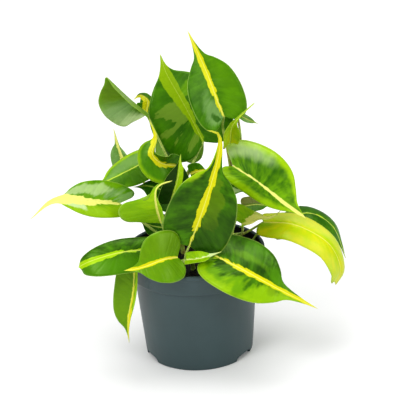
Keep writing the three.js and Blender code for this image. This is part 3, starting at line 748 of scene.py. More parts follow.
def blade_green(name):
    """Mottled green that follows the side veins, with the pale margin's mask."""
    tree, given, out = new_group(
        name,
        (
            ("Blade", "Vector"), ("Dark", "Color"), ("Light", "Color"), ("Seed", "Float", 0.0),
            ("Contrast", "Float", 1.0),
        ),
        (("Color", "Color"), ("Margin", "Float")),
    )
    along, share, _, side = blade_parts(given["Blade"])
    shift = given["Seed"] + side * GREEN_HALF_SEED
    broad = streaks(along, share, shift, rate=5.0, stretch=0.9)
    fine = streaks(along, share, shift, rate=26.0, stretch=2.5, detail=2.0)
    tone = ramp((broad * 0.6 + fine * 0.4 - 0.5) * given["Contrast"], -0.2, 0.2)
    vein = ramp(maths("PINGPONG", along * SIDE_VEINS, 0.5), 0.0, 0.08, 1.0, 0.0)
    tone = maths("ADD", tone, vein * -0.08, clamp=True)
    feed(tree, out, {"Color": mix(tone, given["Dark"], given["Light"]), "Margin": ramp(share, 0.96, 0.99)})
    return tree


def blade_stripe(name):
    """Mask of the stripe along the midrib, whose edges feather along the side veins, and of the midrib."""
    tree, given, out = new_group(
        name,
        (
            ("Blade", "Vector"), ("Inside", "Float", 0.0), ("Feather", "Float", 0.8), ("Rib", "Float", 0.6),
            ("Seed", "Float", 0.0),
        ),
        (("Mask", "Float"), ("Rib", "Float")),
    )
    along, share, distance, side = blade_parts(given["Blade"])
    slant = along * 11.0 + share * 1.5
    teeth = noise(combine(slant, share * 2.0, given["Seed"] + side * STRIPE_HALF_SEED), 1.0, 4.0, 0.6)
    swing = given["Feather"] * ramp(along, 0.55, 0.95, 1.0, 0.25) * STRIPE_SWING
    inside = maths("MULTIPLY_ADD", teeth - 0.5, swing, given["Inside"])
    thin = given["Rib"] * ramp(along, 0.0, 1.0, 1.0, 0.35)
    feed(tree, out, {"Mask": ramp(inside, -0.3, 0.4), "Rib": ramp(thin - distance, -0.25, 0.2)})
    return tree


def blade_patch(name):
    """Mask of one oval patch on one half of the blade, whose edge runs out along the side veins."""
    tree, given, out = new_group(
        name,
        (
            ("Blade", "Vector"), ("Half", "Float", 1.0), ("Along", "Float", 0.5), ("Out", "Float", 0.5),
            ("Long", "Float", 0.2), ("Wide", "Float", 0.3), ("Soft", "Float", 0.3),
            ("Ragged", "Float", 0.5), ("Seed", "Float", 0.0),
        ),
        (("Mask", "Float"),),
    )
    along, share, _, side = blade_parts(given["Blade"])
    a = (along - given["Along"]) / given["Long"]
    b = (share - given["Out"]) / given["Wide"]
    fingers = streaks(along, share, given["Seed"], rate=15.0, stretch=1.3)
    ragged = (fingers - 0.5) * given["Ragged"]
    apart = maths("MULTIPLY_ADD", ragged, 2.5, maths("SQRT", a * a + b * b))
    same = maths("GREATER_THAN", side * given["Half"], 0.0)
    mask = ramp(apart, 1.0 - given["Soft"], given["Soft"] + 1.0, 1.0, 0.0)
    feed(tree, out, {"Mask": mask * same})
    return tree


def blade_relief(name):
    """Height of a blade's skin: shallow side veins with swells between them, and a fine leathery grain."""
    inputs = (("Blade", "Vector"), ("Seed", "Float", 0.0))
    tree, given, out = new_group(name, inputs, (("Height", "Float"),))
    along, share, _, _ = blade_parts(given["Blade"])
    bend = noise(combine(along * 4.0, share, given["Seed"]), 1.0, 1.0)
    swell = maths("PINGPONG", (along + bend * 0.05) * SIDE_VEINS, 0.5)
    grain = noise(given["Blade"], 60.0, 2.0, 0.6)
    feed(tree, out, {"Height": ramp(swell, 0.0, 0.22, 0.0, 0.6) + grain * 0.05})
    return tree


def plastic_grain(name):
    """Fine grain of moulded plastic: a height, a roughness that varies a little, and a tone."""
    tree, given, out = new_group(
        name,
        (("Place", "Vector"), ("Roughness", "Float", 0.45), ("Scuffs", "Float", 0.3)),
        (("Height", "Float"), ("Roughness", "Float"), ("Tone", "Float")),
    )
    broad = noise(given["Place"], PLASTIC_SCUFFS, 3.0, 0.6)
    rough = maths("ADD", given["Roughness"], (broad - 0.5) * given["Scuffs"], clamp=True)
    fine = noise(given["Place"], PLASTIC_GRAIN, 2.0, 0.6)
    feed(tree, out, {"Height": fine, "Roughness": rough, "Tone": broad})
    return tree


# ---- materials ----


def new_material(name):
    """An empty material with its Principled BSDF."""
    material = bpy.data.materials.new(name)
    material.use_nodes = True
    return material, material.node_tree, material.node_tree.nodes["Principled BSDF"]


def bump(height, distance, strength):
    inputs = {"Height": height, "Distance": distance, "Strength": strength}
    return add("ShaderNodeBump", inputs, "Normal")


# How strongly the stripe, the midrib, the margin and the underside show over the blade's green.
STRIPE_SHARE, RIB_SHARE, MARGIN_SHARE, UNDER_SHARE = 0.95, 0.55, 0.35, 0.35
# What is added to the seed for each further patch.
PATCH_SEED_STEP = 11.0
# How much rougher the swells between the veins and the underside are.
RELIEF_ROUGHNESS, UNDER_ROUGHNESS = 0.06, 0.18
LEAF_SPECULAR = 0.4
LEAF_SPECULAR_TINT = (0.75, 1.0, 0.4, 1.0)


def leaf_material(name, look, seed):
    """A blade's finish: mottled green, patches (the grey green and pale green ones are painted sheen and
    glints), the stripe on the midrib, the margin and the underside.
    """
    tones = bpy.context.scene.philodendron_leaves

    def tint(tone):
        return rgba(getattr(tones, tone))

    material, tree, shader = new_material(name)
    blade = {"Blade": attribute(tree, "blade", "Vector"), "Seed": seed}
    dark, light = look.green
    tints = {"Dark": tint(dark), "Light": tint(light), "Contrast": look.mottle}
    green = place_group(blade_green, blade | tints)
    surface = green["Color"]
    for i, patch in enumerate(look.patches):
        spot = place_group(blade_patch, blade | {
            "Half": patch.half, "Along": patch.along, "Out": patch.out, "Long": patch.long,
            "Wide": patch.wide, "Soft": patch.soft, "Ragged": patch.ragged,
            "Seed": seed + PATCH_SEED_STEP * i,
        })
        surface = mix(spot["Mask"] * patch.strength, surface, tint(patch.colour))
    inside = attribute(tree, "stripe")
    stripe = place_group(blade_stripe, blade | {"Inside": inside, "Feather": look.feather, "Rib": look.rib})
    under = attribute(tree, "under")
    for mask, share, tone in (
        (stripe["Mask"], STRIPE_SHARE, look.stripe), (stripe["Rib"], RIB_SHARE, "cream"),
        (green["Margin"], MARGIN_SHARE, "margin"), (under, UNDER_SHARE, "under"),
    ):
        surface = mix(mask * share, surface, tint(tone))
    relief = place_group(blade_relief, blade)
    rough = maths("MULTIPLY_ADD", relief, RELIEF_ROUGHNESS, look.gloss)
    rough = maths("MULTIPLY_ADD", under, UNDER_ROUGHNESS, rough)
    feed(tree, shader, {
        "Base Color": surface, "Roughness": rough, "Specular IOR Level": LEAF_SPECULAR,
        "Specular Tint": LEAF_SPECULAR_TINT,
        "Normal": bump(relief, distance=0.0003, strength=0.5),
    })
    return material


def stalk_material(name, weathered, seed):
    """A stalk's finish: yellow green, paler in streaks, brown where it is weathered."""
    tones = bpy.context.scene.philodendron_stalks
    material, tree, shader = new_material(name)
    place = object_place(tree)
    streaks = noise(combine(attribute(tree, "along") * 3.0, seed, 0.0), 2.0, 2.0)
    grain = noise(place, STALK_GRAIN)
    surface = mix(ramp(streaks * 0.7 + grain * 0.3, 0.35, 0.65), rgba(tones.green), rgba(tones.pale))
    if weathered > 0:
        spots = ramp(noise(place, STALK_SPOTS, 3.0), 0.62 - weathered * 0.35, 0.72 - weathered * 0.3)
        surface = mix(spots * min(1.0, weathered + 0.2), surface, rgba(tones.brown))
    normal = bump(grain, distance=0.0002, strength=0.4)
    feed(tree, shader, {"Base Color": surface, "Roughness": 0.42, "Normal": normal})
    return material


def plastic_material(name, tint, roughness, lighter):
    """Moulded plastic: one colour through and through, a fine grain and slight scuffs."""
    material, tree, shader = new_material(name)
    inputs = {"Place": object_place(tree), "Roughness": roughness, "Scuffs": 0.12}
    grain = place_group(plastic_grain, inputs)
    pale = rgba([min(1.0, c * lighter) for c in tint])
    feed(tree, shader, {
        "Base Color": mix(ramp(grain["Tone"], 0.35, 0.7), rgba(tint), pale),
        "Roughness": grain["Roughness"],
        "Normal": bump(grain["Height"], distance=0.00008, strength=0.6),
    })
    return material


def peat_material():
    """Damp peat: nearly black, browner and duller where clumps have dried."""
    tones = bpy.context.scene.philodendron_peat
    material, tree, shader = new_material("damp_peat")
    clumps = noise(object_place(tree), PEAT_CLUMPS, 4.0, 0.65)
    dry = clumps * 0.6 + attribute(tree, "tone") * 0.4
    feed(tree, shader, {
        "Base Color": mix(ramp(dry, 0.4, 0.85), rgba(tones.dark), rgba(tones.light)),
        "Roughness": ramp(clumps, 0.3, 0.7, 0.75, 0.98),
        "Normal": bump(clumps, distance=0.0008, strength=0.9),
    })
    return material


# ---- mesh helpers ----

LINE_STEPS = 400
TINY = 1e-12


def catmull(points, steps):
    """A smooth line through points, the same that the CAD's curves give, as steps + 1 places."""
    p = np.array(points, float)
    p = np.vstack([2 * p[0] - p[1], p, 2 * p[-1] - p[-2]])
    t = np.linspace(0, len(points) - 1, steps + 1)
    i = np.minimum(t.astype(int), len(points) - 2)
    u = (t - i)[:, None]
    a, b, c, d = p[i], p[i + 1], p[i + 2], p[i + 3]
    return 0.5 * (2 * b + (c - a) * u + (2 * a - 5 * b + 4 * c - d) * u**2 + (3 * b - a - 3 * c + d) * u**3)


def unit(v):
    return v / np.maximum(np.linalg.norm(v, axis=-1, keepdims=True), TINY)


def on_line(points, share):
    """Place and direction at each share of a smooth line's length, and its length."""
    line = catmull(points, LINE_STEPS)
    steps = np.linalg.norm(np.diff(line, axis=0), axis=1)
    reach = np.concatenate([[0], np.cumsum(steps)]) / steps.sum()
    slopes = unit(np.gradient(line, axis=0))
    place, along = (
        np.stack([np.interp(share, reach, values[:, i]) for i in range(3)], -1) for values in (line, slopes)
    )
    return place, unit(along), steps.sum()


def new_object(name, data):
    thing = bpy.data.objects.new(name, data)
    bpy.context.scene.collection.objects.link(thing)
    return thing


def new_piece(name, verts, faces, material, smooth=True):
    """A finished mesh object that stands where its vertices, given in mm, are."""
    mesh = bpy.data.meshes.new(name)
    mesh.from_pydata([tuple(map(float, v)) for v in np.array(verts) * MM], [], faces)
    mesh.update()
    mesh.polygons.foreach_set("use_smooth", [smooth] * len(mesh.polygons))
    mesh.materials.append(material)
    return new_object(name, mesh)


def without_repeats(ring):
    """The corners of a face, each once. Nothing is left of a face with fewer than three."""
    ring = [int(v) for k, v in enumerate(ring) if v != ring[k - 1]]
    return [ring] if len(ring) > 2 else []


def point_attribute(mesh, name, kind, values):
    attribute = mesh.attributes.new(name, kind, "POINT")
    field = "vector" if kind == "FLOAT_VECTOR" else "value"
    attribute.data.foreach_set(field, np.asarray(values, np.float32).ravel())


def seat(piece, node):
    """Moves a piece's vertices so that the middle of its box is the middle of its CAD node's box."""
    low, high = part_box(node)
    places = np.array([v.co for v in piece.data.vertices])
    shift = (np.array(low) + np.array(high)) / 2 - (places.min(0) + places.max(0)) / 2
    piece.data.transform(Matrix.Translation(Vector(shift)))
    piece.data.update()


def hand_over(piece, node):
    """Hooks a finished piece to the frame in place of its CAD node."""
    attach(piece, "root")
    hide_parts(node)


def baked(piece, name):
    """A plain mesh object from a piece whose modifiers are then gone."""
    bpy.context.view_layer.update()
    graph = bpy.context.evaluated_depsgraph_get()
    finished = piece.evaluated_get(graph)
    mesh = bpy.data.meshes.new_from_object(finished, preserve_all_data_layers=True, depsgraph=graph)
    bpy.data.batch_remove((piece, piece.data))
    mesh.name = name
    return new_object(name, mesh)


# ---- blades ----

# The last places of the outline before the tip, past which a half that reaches further is held back.
SHOULDER, NECK = 0.96, 0.985
# Spacing of the columns from the midrib to the margin: closer together at the midrib.
COLUMN_SPREAD = 1.35
# Width in mm of the channel above the midrib and of the ridge below it.
CHANNEL_WIDTH, RIDGE_WIDTH = 0.9, 1.0
RIDGE_TAPER = 0.75
EDGE_THINNING = 0.5
# The margin's waves: how many, their height, and how far the leaf's number and its half shift them.
MARGIN_WAVES = ((2.2, 1, 0.13, 0.3), (4.7, 0.5, 0.31, 0))
# Seed of the first blade, and what each further blade adds to it.
BLADE_SEED, BLADE_SEED_STEP = 1, 2.3


def rib_frames(leaf, share):
    """Place, normal of the upper side, across, midrib's length and clipped share, at shares of the midrib.
    Past its ends the midrib runs on straight."""
    inside = np.clip(share, 0, 1)
    place, along, total = on_line(leaf.rib, inside)
    place = place + along * ((share - inside) * total)[..., None]
    first, last = (unit(np.array(f, float)) for f in leaf.face)
    look = first + (last - first) * inside[..., None]
    normal = unit(look - along * (look * along).sum(-1, keepdims=True))
    return place, normal, np.cross(along, normal), total, inside


def half_outline(reach, lobe, steps):
    """A half blade's outline as shares of the midrib and of the width."""
    points = [[x * lobe if x < 0 else x * reach, y, 0] for x, y in OUTLINE]
    points[-3][0] = min(points[-3][0], SHOULDER)
    points[-2][0] = (points[-3][0] + 1) / 2 if reach < 1 else min(points[-2][0], NECK)
    points[-1][0] = 1
    return catmull(points, steps)[:, :2]


def blade_grid(leaf, side, rows, columns):
    """Places of one half of a blade, with their shares out and distances from the rib."""
    width, fold_base, fold_tip, curl, reach, lobe = leaf.right if side > 0 else leaf.left
    share = (np.arange(columns + 1) / columns) ** COLUMN_SPREAD
    root = (np.arange(rows + 1) / rows) ** VEIN_LEAN
    edge = half_outline(reach, lobe, rows)
    along = root[:, None] * (1 - share) + edge[:, :1] * share
    distance = np.maximum(edge[:, 1:] * width, 0) * share
    total = rib_frames(leaf, np.zeros(1))[3]
    place, normal, across, _, inside = rib_frames(leaf, along + leaf.sweep * distance / total)
    fold = fold_base * (1 - inside) + fold_tip * inside + curl * distance / width / 2
    fold, spread = np.radians(fold)[..., None], distance[..., None]
    return place + side * across * spread * np.cos(fold) + normal * spread * np.sin(fold), share, distance


def margin_rise(row, share, size, seed):
    """How far the margin waves up and down, in mm."""
    side = np.sign(share)
    swing = sum(
        height * np.sin(2 * np.pi * (waves * row + shift * seed + turn * side))
        for waves, height, shift, turn in MARGIN_WAVES
    )
    return size * swing * np.sin(np.pi * np.clip(row, 0, 1)) ** 0.7 * np.abs(share) ** 2.2


def surface_normals(places, faces):
    """The normal at each place, from the faces that meet there."""
    normals = np.zeros_like(places)
    for ring in faces:
        a, b, c = places[ring[0]], places[ring[1]], places[ring[-1]]
        push = np.cross(b - a, c - a)
        for v in ring:
            normals[v] += push
    return unit(normals)


def closed_plate(upper, lower, faces, rim):
    """A closed solid between two sheets with the same faces, and the places that it keeps of each."""
    used = sorted({v for face in faces for v in face})
    slot = {v: i for i, v in enumerate(used)}
    under = len(used)
    solid = [[slot[v] for v in face] for face in faces]
    solid += [[slot[v] + under for v in reversed(face)] for face in faces]
    for a, b in zip(rim, rim[1:] + rim[:1]):
        solid.append([slot[b], slot[a], slot[a] + under, slot[b] + under])
    return np.vstack([upper[used], lower[used]]), solid, used


def make_blade(name, leaf, look, material, seed):
    """A blade with a channel along the midrib, a ridge under it, a waving margin and a thin edge."""
    sizes = bpy.context.scene.philodendron_leaves
    channel, ridge, thickness = in_mm(sizes, "channel", "ridge", "thickness")
    rows, columns = sizes.rows, sizes.columns
    (left, left_share, left_out), (right, right_share, right_out) = (
        blade_grid(leaf, side, rows, columns) for side in (L, R)
    )
    flat = np.concatenate([left[:, :0:-1], right], axis=1).reshape(-1, 3)
    share = np.concatenate([-left_share[:0:-1], right_share])[None]
    distance = np.concatenate([-left_out[:, :0:-1], right_out], axis=1)
    row = (np.arange(rows + 1) / rows)[:, None]
    wide = 2 * columns + 1
    index = np.arange((rows + 1) * wide).reshape(rows + 1, wide)
    index[0], index[rows] = 0, rows * wide
    faces = []
    for low, high in zip(index, index[1:]):
        for k in range(wide - 1):
            faces += without_repeats((low[k], low[k + 1], high[k + 1], high[k]))
    rim = [int(v) for v in (*index[:, -1], *index[rows - 1 : 0 : -1, 0])]
    normals = surface_normals(flat, faces)
    dip = channel * np.exp(-((distance / CHANNEL_WIDTH) ** 2)) * (1 - row) ** 0.5
    upper = flat + normals * (margin_rise(row, share, look.wave, seed) - dip).reshape(-1, 1)
    rise = ridge * np.exp(-((distance / RIDGE_WIDTH) ** 2)) * (1 - RIDGE_TAPER * row)
    thick = thickness * (1 - EDGE_THINNING * np.abs(share) ** 3) + rise - dip
    lower = upper - normals * thick.reshape(-1, 1)
    verts, solid, used = closed_plate(upper, lower, faces, rim)
    piece = new_piece(name, verts, solid, material)
    own = np.stack(np.broadcast_arrays(row, share, distance), -1).reshape(-1, 3)[used]
    places = np.linspace(0, 1, len(look.left))
    left_band, right_band = (np.interp(row, places, band) for band in (look.left, look.right or look.left))
    inside = (np.where(share < 0, left_band, right_band) - np.abs(distance)).reshape(-1)[used]
    point_attribute(piece.data, "blade", "FLOAT_VECTOR", np.vstack([own, own]))
    point_attribute(piece.data, "under", "FLOAT", np.repeat([0.0, 1.0], len(used)))
    point_attribute(piece.data, "stripe", "FLOAT", np.concatenate([inside, inside]))
    return piece


class PHILODENDRON_OT_leaves(bpy.types.Operator):
    """Makes the blades, each with its own pattern of green and yellow"""

    bl_idname = "philodendron.leaves"
    bl_label = "Make the Leaves"

    def execute(self, context):
        for number, (node, leaf) in enumerate(LEAVES.items()):
            look = LOOKS[node]
            seed = BLADE_SEED_STEP * number + BLADE_SEED
            material = leaf_material(node.replace("leaf_", "blade_"), look, seed)
            piece = make_blade(node + "_blade", leaf, look, material, number)
            seat(piece, node)
            hand_over(piece, node)
        return {"FINISHED"}


# ---- stems and stalks ----

# How far a stem and a stalk start down in the peat, and how far a stalk's ends lie inside its stem
# and behind its blade.
STEM_DEPTH, STALK_DEPTH, STALK_INSET, BLADE_CLEARANCE = 3, 1.5, 0.4, 0.9
STEM_TAPER, STEM_SWELL, STALK_SWELL = 0.85, 0.1, 0.35
STEM_STEPS, STALK_STEPS = 60, 40
STEM_SEED, STALK_SEED = 0.5, 7.5
# Shares of brown on the pieces whose skin is more weathered than the rest.
WEATHERED = {
    "petiole_right_drooping": 0.5, "petiole_crown_sliver": 0.4, "stem_right": 0.5, "stem_centre": 0.4,
}
STEM_WEATHERING = 0.2


def stalk_tube(name):
    """A tube that follows a line, tapers and swells at its foot, with its share of the length as along."""
    tree, given, out = new_group(
        name,
        (
            ("Line", "Geometry"), ("Radius", "Float", 0.001), ("End share", "Float", 0.8),
            ("Foot swell", "Float", 0.25), ("Sides", "Int", 12), ("Step", "Float", 0.0012),
            ("Unevenness", "Float", 0.06), ("Seed", "Float", 0.0), ("Material", "Material"),
        ),
        (("Stalk", "Geometry"),),
        "GeometryNodeTree",
    )
    steps = {"Curve": given["Line"], "Length": given["Step"]}
    line = add("GeometryNodeResampleCurve", steps, "Curve", mode="LENGTH")
    along = add("GeometryNodeSplineParameter", {}, "Factor", tree)
    taper = ramp(along, 0.0, 1.0, 1.0, given["End share"], soft=False)
    foot = ramp(along, 0.0, 0.12, 1.0, 0.0) * given["Foot swell"]
    rough = noise(combine(along * 6.0, given["Seed"], 0.0), 1.0, 1.0)
    rough = (rough - 0.5) * (given["Unevenness"] * 4.0)
    size = given["Radius"] * (taper + foot + rough)
    marked = {"Geometry": line, "Name": "along", "Value": along}
    line = add("GeometryNodeStoreNamedAttribute", marked, data_type="FLOAT", domain="POINT")
    section = add("GeometryNodeCurvePrimitiveCircle", {"Resolution": given["Sides"], "Radius": 1.0})
    swept = {"Curve": line, "Profile Curve": section, "Scale": size, "Fill Caps": True}
    tube = add("GeometryNodeSetShadeSmooth", {"Geometry": add("GeometryNodeCurveToMesh", swept)})
    return finish_tree(tree, out, tube, given["Material"])


def make_stalk(name, line, material, radius, end, swell, seed):
    """A stalk along a line of places in mm."""
    curve = bpy.data.curves.new(name + "_line", "CURVE")
    curve.dimensions = "3D"
    spline = curve.splines.new("POLY")
    spline.points.add(len(line) - 1)
    spline.points.foreach_set("co", np.column_stack([line * MM, np.ones(len(line))]).ravel())
    return grown(new_object(name + "_line", curve), name, stalk_tube, {
        "Radius": radius, "End share": end, "Foot swell": swell, "Seed": float(seed), "Material": material,
        "Sides": bpy.context.scene.philodendron_stalks.sides,
    })


def petiole_line(leaf):
    """The stalk's centre line, from inside its stem to the notch of its blade."""
    source, foot, bend = leaf.stalk
    bend = np.array(bend, float)
    base, normal, _, _, _ = rib_frames(leaf, np.zeros(1))
    if source == "soil":
        start = np.array(foot, float) - (0, 0, STALK_DEPTH)
    else:
        centre, along, _ = on_line(STEMS[source], foot)
        out = bend - centre
        (radius,) = in_mm(bpy.context.scene.philodendron_stalks, "stem_radius")
        start = centre + unit(out - along * (out @ along)) * (radius - STALK_INSET)
    return catmull([start, bend, base[0] - normal[0] * BLADE_CLEARANCE], STALK_STEPS)


class PHILODENDRON_OT_stalks(bpy.types.Operator):
    """Makes the vine stems and the stalks of the leaves along their lines"""

    bl_idname = "philodendron.stalks"
    bl_label = "Make the Stems and Stalks"

    def execute(self, context):
        sizes = context.scene.philodendron_stalks
        for number, (node, points) in enumerate(STEMS.items()):
            weathered = WEATHERED.get(node, STEM_WEATHERING)
            material = stalk_material("skin_" + node, weathered, number + STEM_SEED)
            (x, y, z), radius = points[0], sizes.stem_radius
            line = catmull([(x, y, z - STEM_DEPTH), *points], STEM_STEPS)
            piece = make_stalk(node + "_vine", line, material, radius, STEM_TAPER, STEM_SWELL, number)
            hand_over(piece, node)
        for number, (leaf_node, leaf) in enumerate(LEAVES.items()):
            if leaf.stalk is None:
                continue
            node = leaf_node.replace("leaf_", "petiole_")
            material = stalk_material("skin_" + node, WEATHERED.get(node, 0.0), number + STALK_SEED)
            line, radius = petiole_line(leaf), sizes.petiole_radius
            piece = make_stalk(node + "_stalk", line, material, radius, sizes.taper, STALK_SWELL, number)
            hand_over(piece, node)
        return {"FINISHED"}


# ---- pot ----

NOTCH_ANGLES = (85, 205, 325)
# How far a notch's cutter goes in and out from the foot, and how square its scallop is across and upwards.
NOTCH_INSIDE, NOTCH_OUTSIDE = 9, 4
NOTCH_SQUARE_ACROSS, NOTCH_SQUARE_UP, NOTCH_STEPS = 0.8, 0.6, 20
DRAIN_HOLES, DRAIN_CIRCLE, DRAIN_SIDES = 6, 27, 24
PAD_RADIUS = 9
FOOT_RING_WIDTH, FOOT_RING_HEIGHT, FLOOR_TOP = 3, 5, 6.5
LIP_HEIGHT, LIP_WIDTH = 4, 3
CORNER_RADIUS, CORNER_STEPS = 0.9, 4
# The most of an edge that a rounded corner at its end may take.
CORNER_LIMIT = 0.45
SHARP_EDGE = 35
# Height at which the body is as wide as its foot, where the near-black inner finish, which paints the
# hollow's shade, is told from the outer one.
PAINT_START = 6


def lathe(profile, segments):
    """Vertices and faces of a closed profile turned about the pot's axis. Points on the axis become one."""
    verts, rings = [], []
    for r, z in profile:
        if r == 0:
            rings.append([len(verts)] * segments)
            verts.append((0, 0, z))
            continue
        rings.append(list(range(len(verts), len(verts) + segments)))
        for i in range(segments):
            turn = 2 * math.pi * i / segments
            verts.append((r * math.cos(turn), r * math.sin(turn), z))
    faces = []
    for low, high in zip(rings, rings[1:]):
        for i in range(segments):
            j = (i + 1) % segments
            faces += without_repeats((low[i], low[j], high[j], high[i]))
    return verts, faces


def rounded(points):
    """A line of (r, z, corner) points whose corners are rounded off, each as much as its share says."""
    out = []
    for i, (r, z, corner) in enumerate(points):
        here = np.array((r, z), float)
        if corner <= 0:
            out.append((r, z))
            continue
        back, on = (np.array(points[i + step][:2], float) - here for step in (-1, 1))
        shorter = min(np.linalg.norm(back), np.linalg.norm(on))
        cut = min(corner * CORNER_RADIUS, shorter * CORNER_LIMIT)
        a, b = here + unit(back) * cut, here + unit(on) * cut
        for t in np.linspace(0, 1, CORNER_STEPS + 1):
            out.append(tuple((1 - t) ** 2 * a + 2 * t * (1 - t) * here + t * t * b))
    return out


def notch_cutter(angle, width, height, radius):
    """A scallop-shaped bar that cuts one drainage notch through the foot."""
    side = math.radians(angle)
    profile = [(-width / 2, -1), (width / 2, -1)]
    for i in range(NOTCH_STEPS + 1):
        turn = math.pi * i / NOTCH_STEPS
        x, z = math.cos(turn), math.sin(turn)
        across = math.copysign(abs(x) ** NOTCH_SQUARE_ACROSS, x)
        profile.append((width / 2 * across, height * z**NOTCH_SQUARE_UP))
    verts = [
        (r * math.cos(side) - x * math.sin(side), r * math.sin(side) + x * math.cos(side), z)
        for r in (radius - NOTCH_INSIDE, radius + NOTCH_OUTSIDE) for x, z in profile
    ]
    n = len(profile)
    faces = [list(range(n - 1, -1, -1)), list(range(n, 2 * n))]
    faces += [[i, (i + 1) % n, (i + 1) % n + n, i + n] for i in range(n)]
    return verts, faces


def cut_away(piece, cutters):
    """Cuts the cutters out of the piece and throws them away."""
    for cutter in cutters:
        modifier = piece.modifiers.new("cut", "BOOLEAN")
        modifier.operation = "DIFFERENCE"
        modifier.solver = "MANIFOLD"
        modifier.object = cutter
    plain = baked(piece, piece.name)
    bpy.data.batch_remove(cutters)
    return plain


class PHILODENDRON_OT_pot(bpy.types.Operator):
    """Makes the nursery pot with its collar, lip, foot notches and drain holes"""

    bl_idname = "philodendron.pot"
    bl_label = "Make the Pot"

    def execute(self, context):
        s = context.scene.philodendron_pot
        outside = plastic_material("pot_plastic", s.outer, 0.42, 1.12)
        # The near-black inside finish is painted shade of the hollow, made as a two-tone pot's inner skin.
        inside = plastic_material("pot_plastic_inside", s.inner, 0.5, 1.5)
        top, rim, foot, band = in_mm(s, "height", "rim_radius", "foot_radius", "collar_height")
        collar, body, wall = in_mm(s, "collar_foot_radius", "body_top_radius", "wall")
        drain, *notch = in_mm(s, "drain_radius", "notch_width", "notch_height")
        step, ring = top - band, foot - FOOT_RING_WIDTH
        profile = rounded([
            # The centre pad and the foot ring.
            (0, 0, 0), (PAD_RADIUS, 0, 1), (PAD_RADIUS + 0.5, FOOT_RING_HEIGHT, 1),
            (ring, FOOT_RING_HEIGHT, 1), (ring, 0, 1), (foot, 0, 1.2),
            # The body, the collar and the lip.
            (body, step, 0.8), (collar - 0.6, step, 1), (collar, step + 1.2, 1),
            (rim - 0.9, top - LIP_HEIGHT - 0.4, 0.8), (rim, top - LIP_HEIGHT + 0.4, 1), (rim, top, 1.6),
            (rim - LIP_WIDTH + 0.1, top, 1.4), (rim - LIP_WIDTH - 0.1, top - LIP_HEIGHT, 1),
            # The inside, down to the floor.
            (collar - wall, step + 1.6, 1), (body - wall, step - 2, 1),
            (foot - wall + 0.4, FLOOR_TOP, 1.5), (0, FLOOR_TOP, 0),
        ])
        piece = new_piece("nursery_pot", *lathe(profile, s.segments), outside)
        cutters = [new_piece("notch", *notch_cutter(a, *notch, foot), outside) for a in NOTCH_ANGLES]
        for i in range(DRAIN_HOLES):
            turn = 2 * math.pi * (i + 0.5) / DRAIN_HOLES
            verts, faces = lathe([(0, 2), (drain, 2), (drain, 9), (0, 9)], DRAIN_SIDES)
            middle = (DRAIN_CIRCLE * math.cos(turn), DRAIN_CIRCLE * math.sin(turn), 0)
            cutters.append(new_piece("drain", np.array(verts) + middle, faces, outside))
        piece = cut_away(piece, cutters)
        mesh = piece.data
        mesh.materials.clear()
        mesh.materials.append(outside)
        mesh.materials.append(inside)
        # Faces inside the hollow take the near-black finish, which paints the hollow's shade.
        for polygon in mesh.polygons:
            x, y, z = polygon.center / MM
            taper = foot + (body - foot) * (z - PAINT_START) / (step - PAINT_START)
            inward = polygon.normal.x * x + polygon.normal.y * y < 0 or polygon.normal.z > 0.5
            within = math.hypot(x, y) < (taper if z < step else collar + 1.2)
            hollow = FOOT_RING_HEIGHT + 0.5 < z < top - 2
            polygon.material_index = int(hollow and within and inward)
        mesh.polygons.foreach_set("use_smooth", [True] * len(mesh.polygons))
        mesh.set_sharp_from_angle(angle=math.radians(SHARP_EDGE))
        hand_over(piece, "pot")
        return {"FINISHED"}


# ---- peat ----

PEAT_SEGMENTS, PEAT_RINGS = 120, 28
# Gap between the peat and the pot, and how far the peat's rim and crown lie below its CAD node's top.
PEAT_GAP, PEAT_RIM_DROP, PEAT_CROWN_DROP = 0.6, 3, 0.6
PEAT_FLOOR = 6.9
LUMP_WAVES, CRUMB_WAVES = 75.0, 1.3
TURN_SEED, SIZE_SEED, TONE_SEED = 5, 9, 13
ANY_TURN = (6.2, 6.2, 6.2)
# The smallest crumbs beside the largest, and how much commoner small ones are.
SMALLEST_CRUMB, SMALL_BIAS = 0.2, 2.2


def random_value(tree, low, high, seed, first=2, output=1, kind="FLOAT"):
    """Random values from low to high. first and output: where the kind of value has its sockets."""
    inputs = {first: low, first + 1: high, "Seed": seed}
    return add("FunctionNodeRandomValue", inputs, output, tree, data_type=kind)


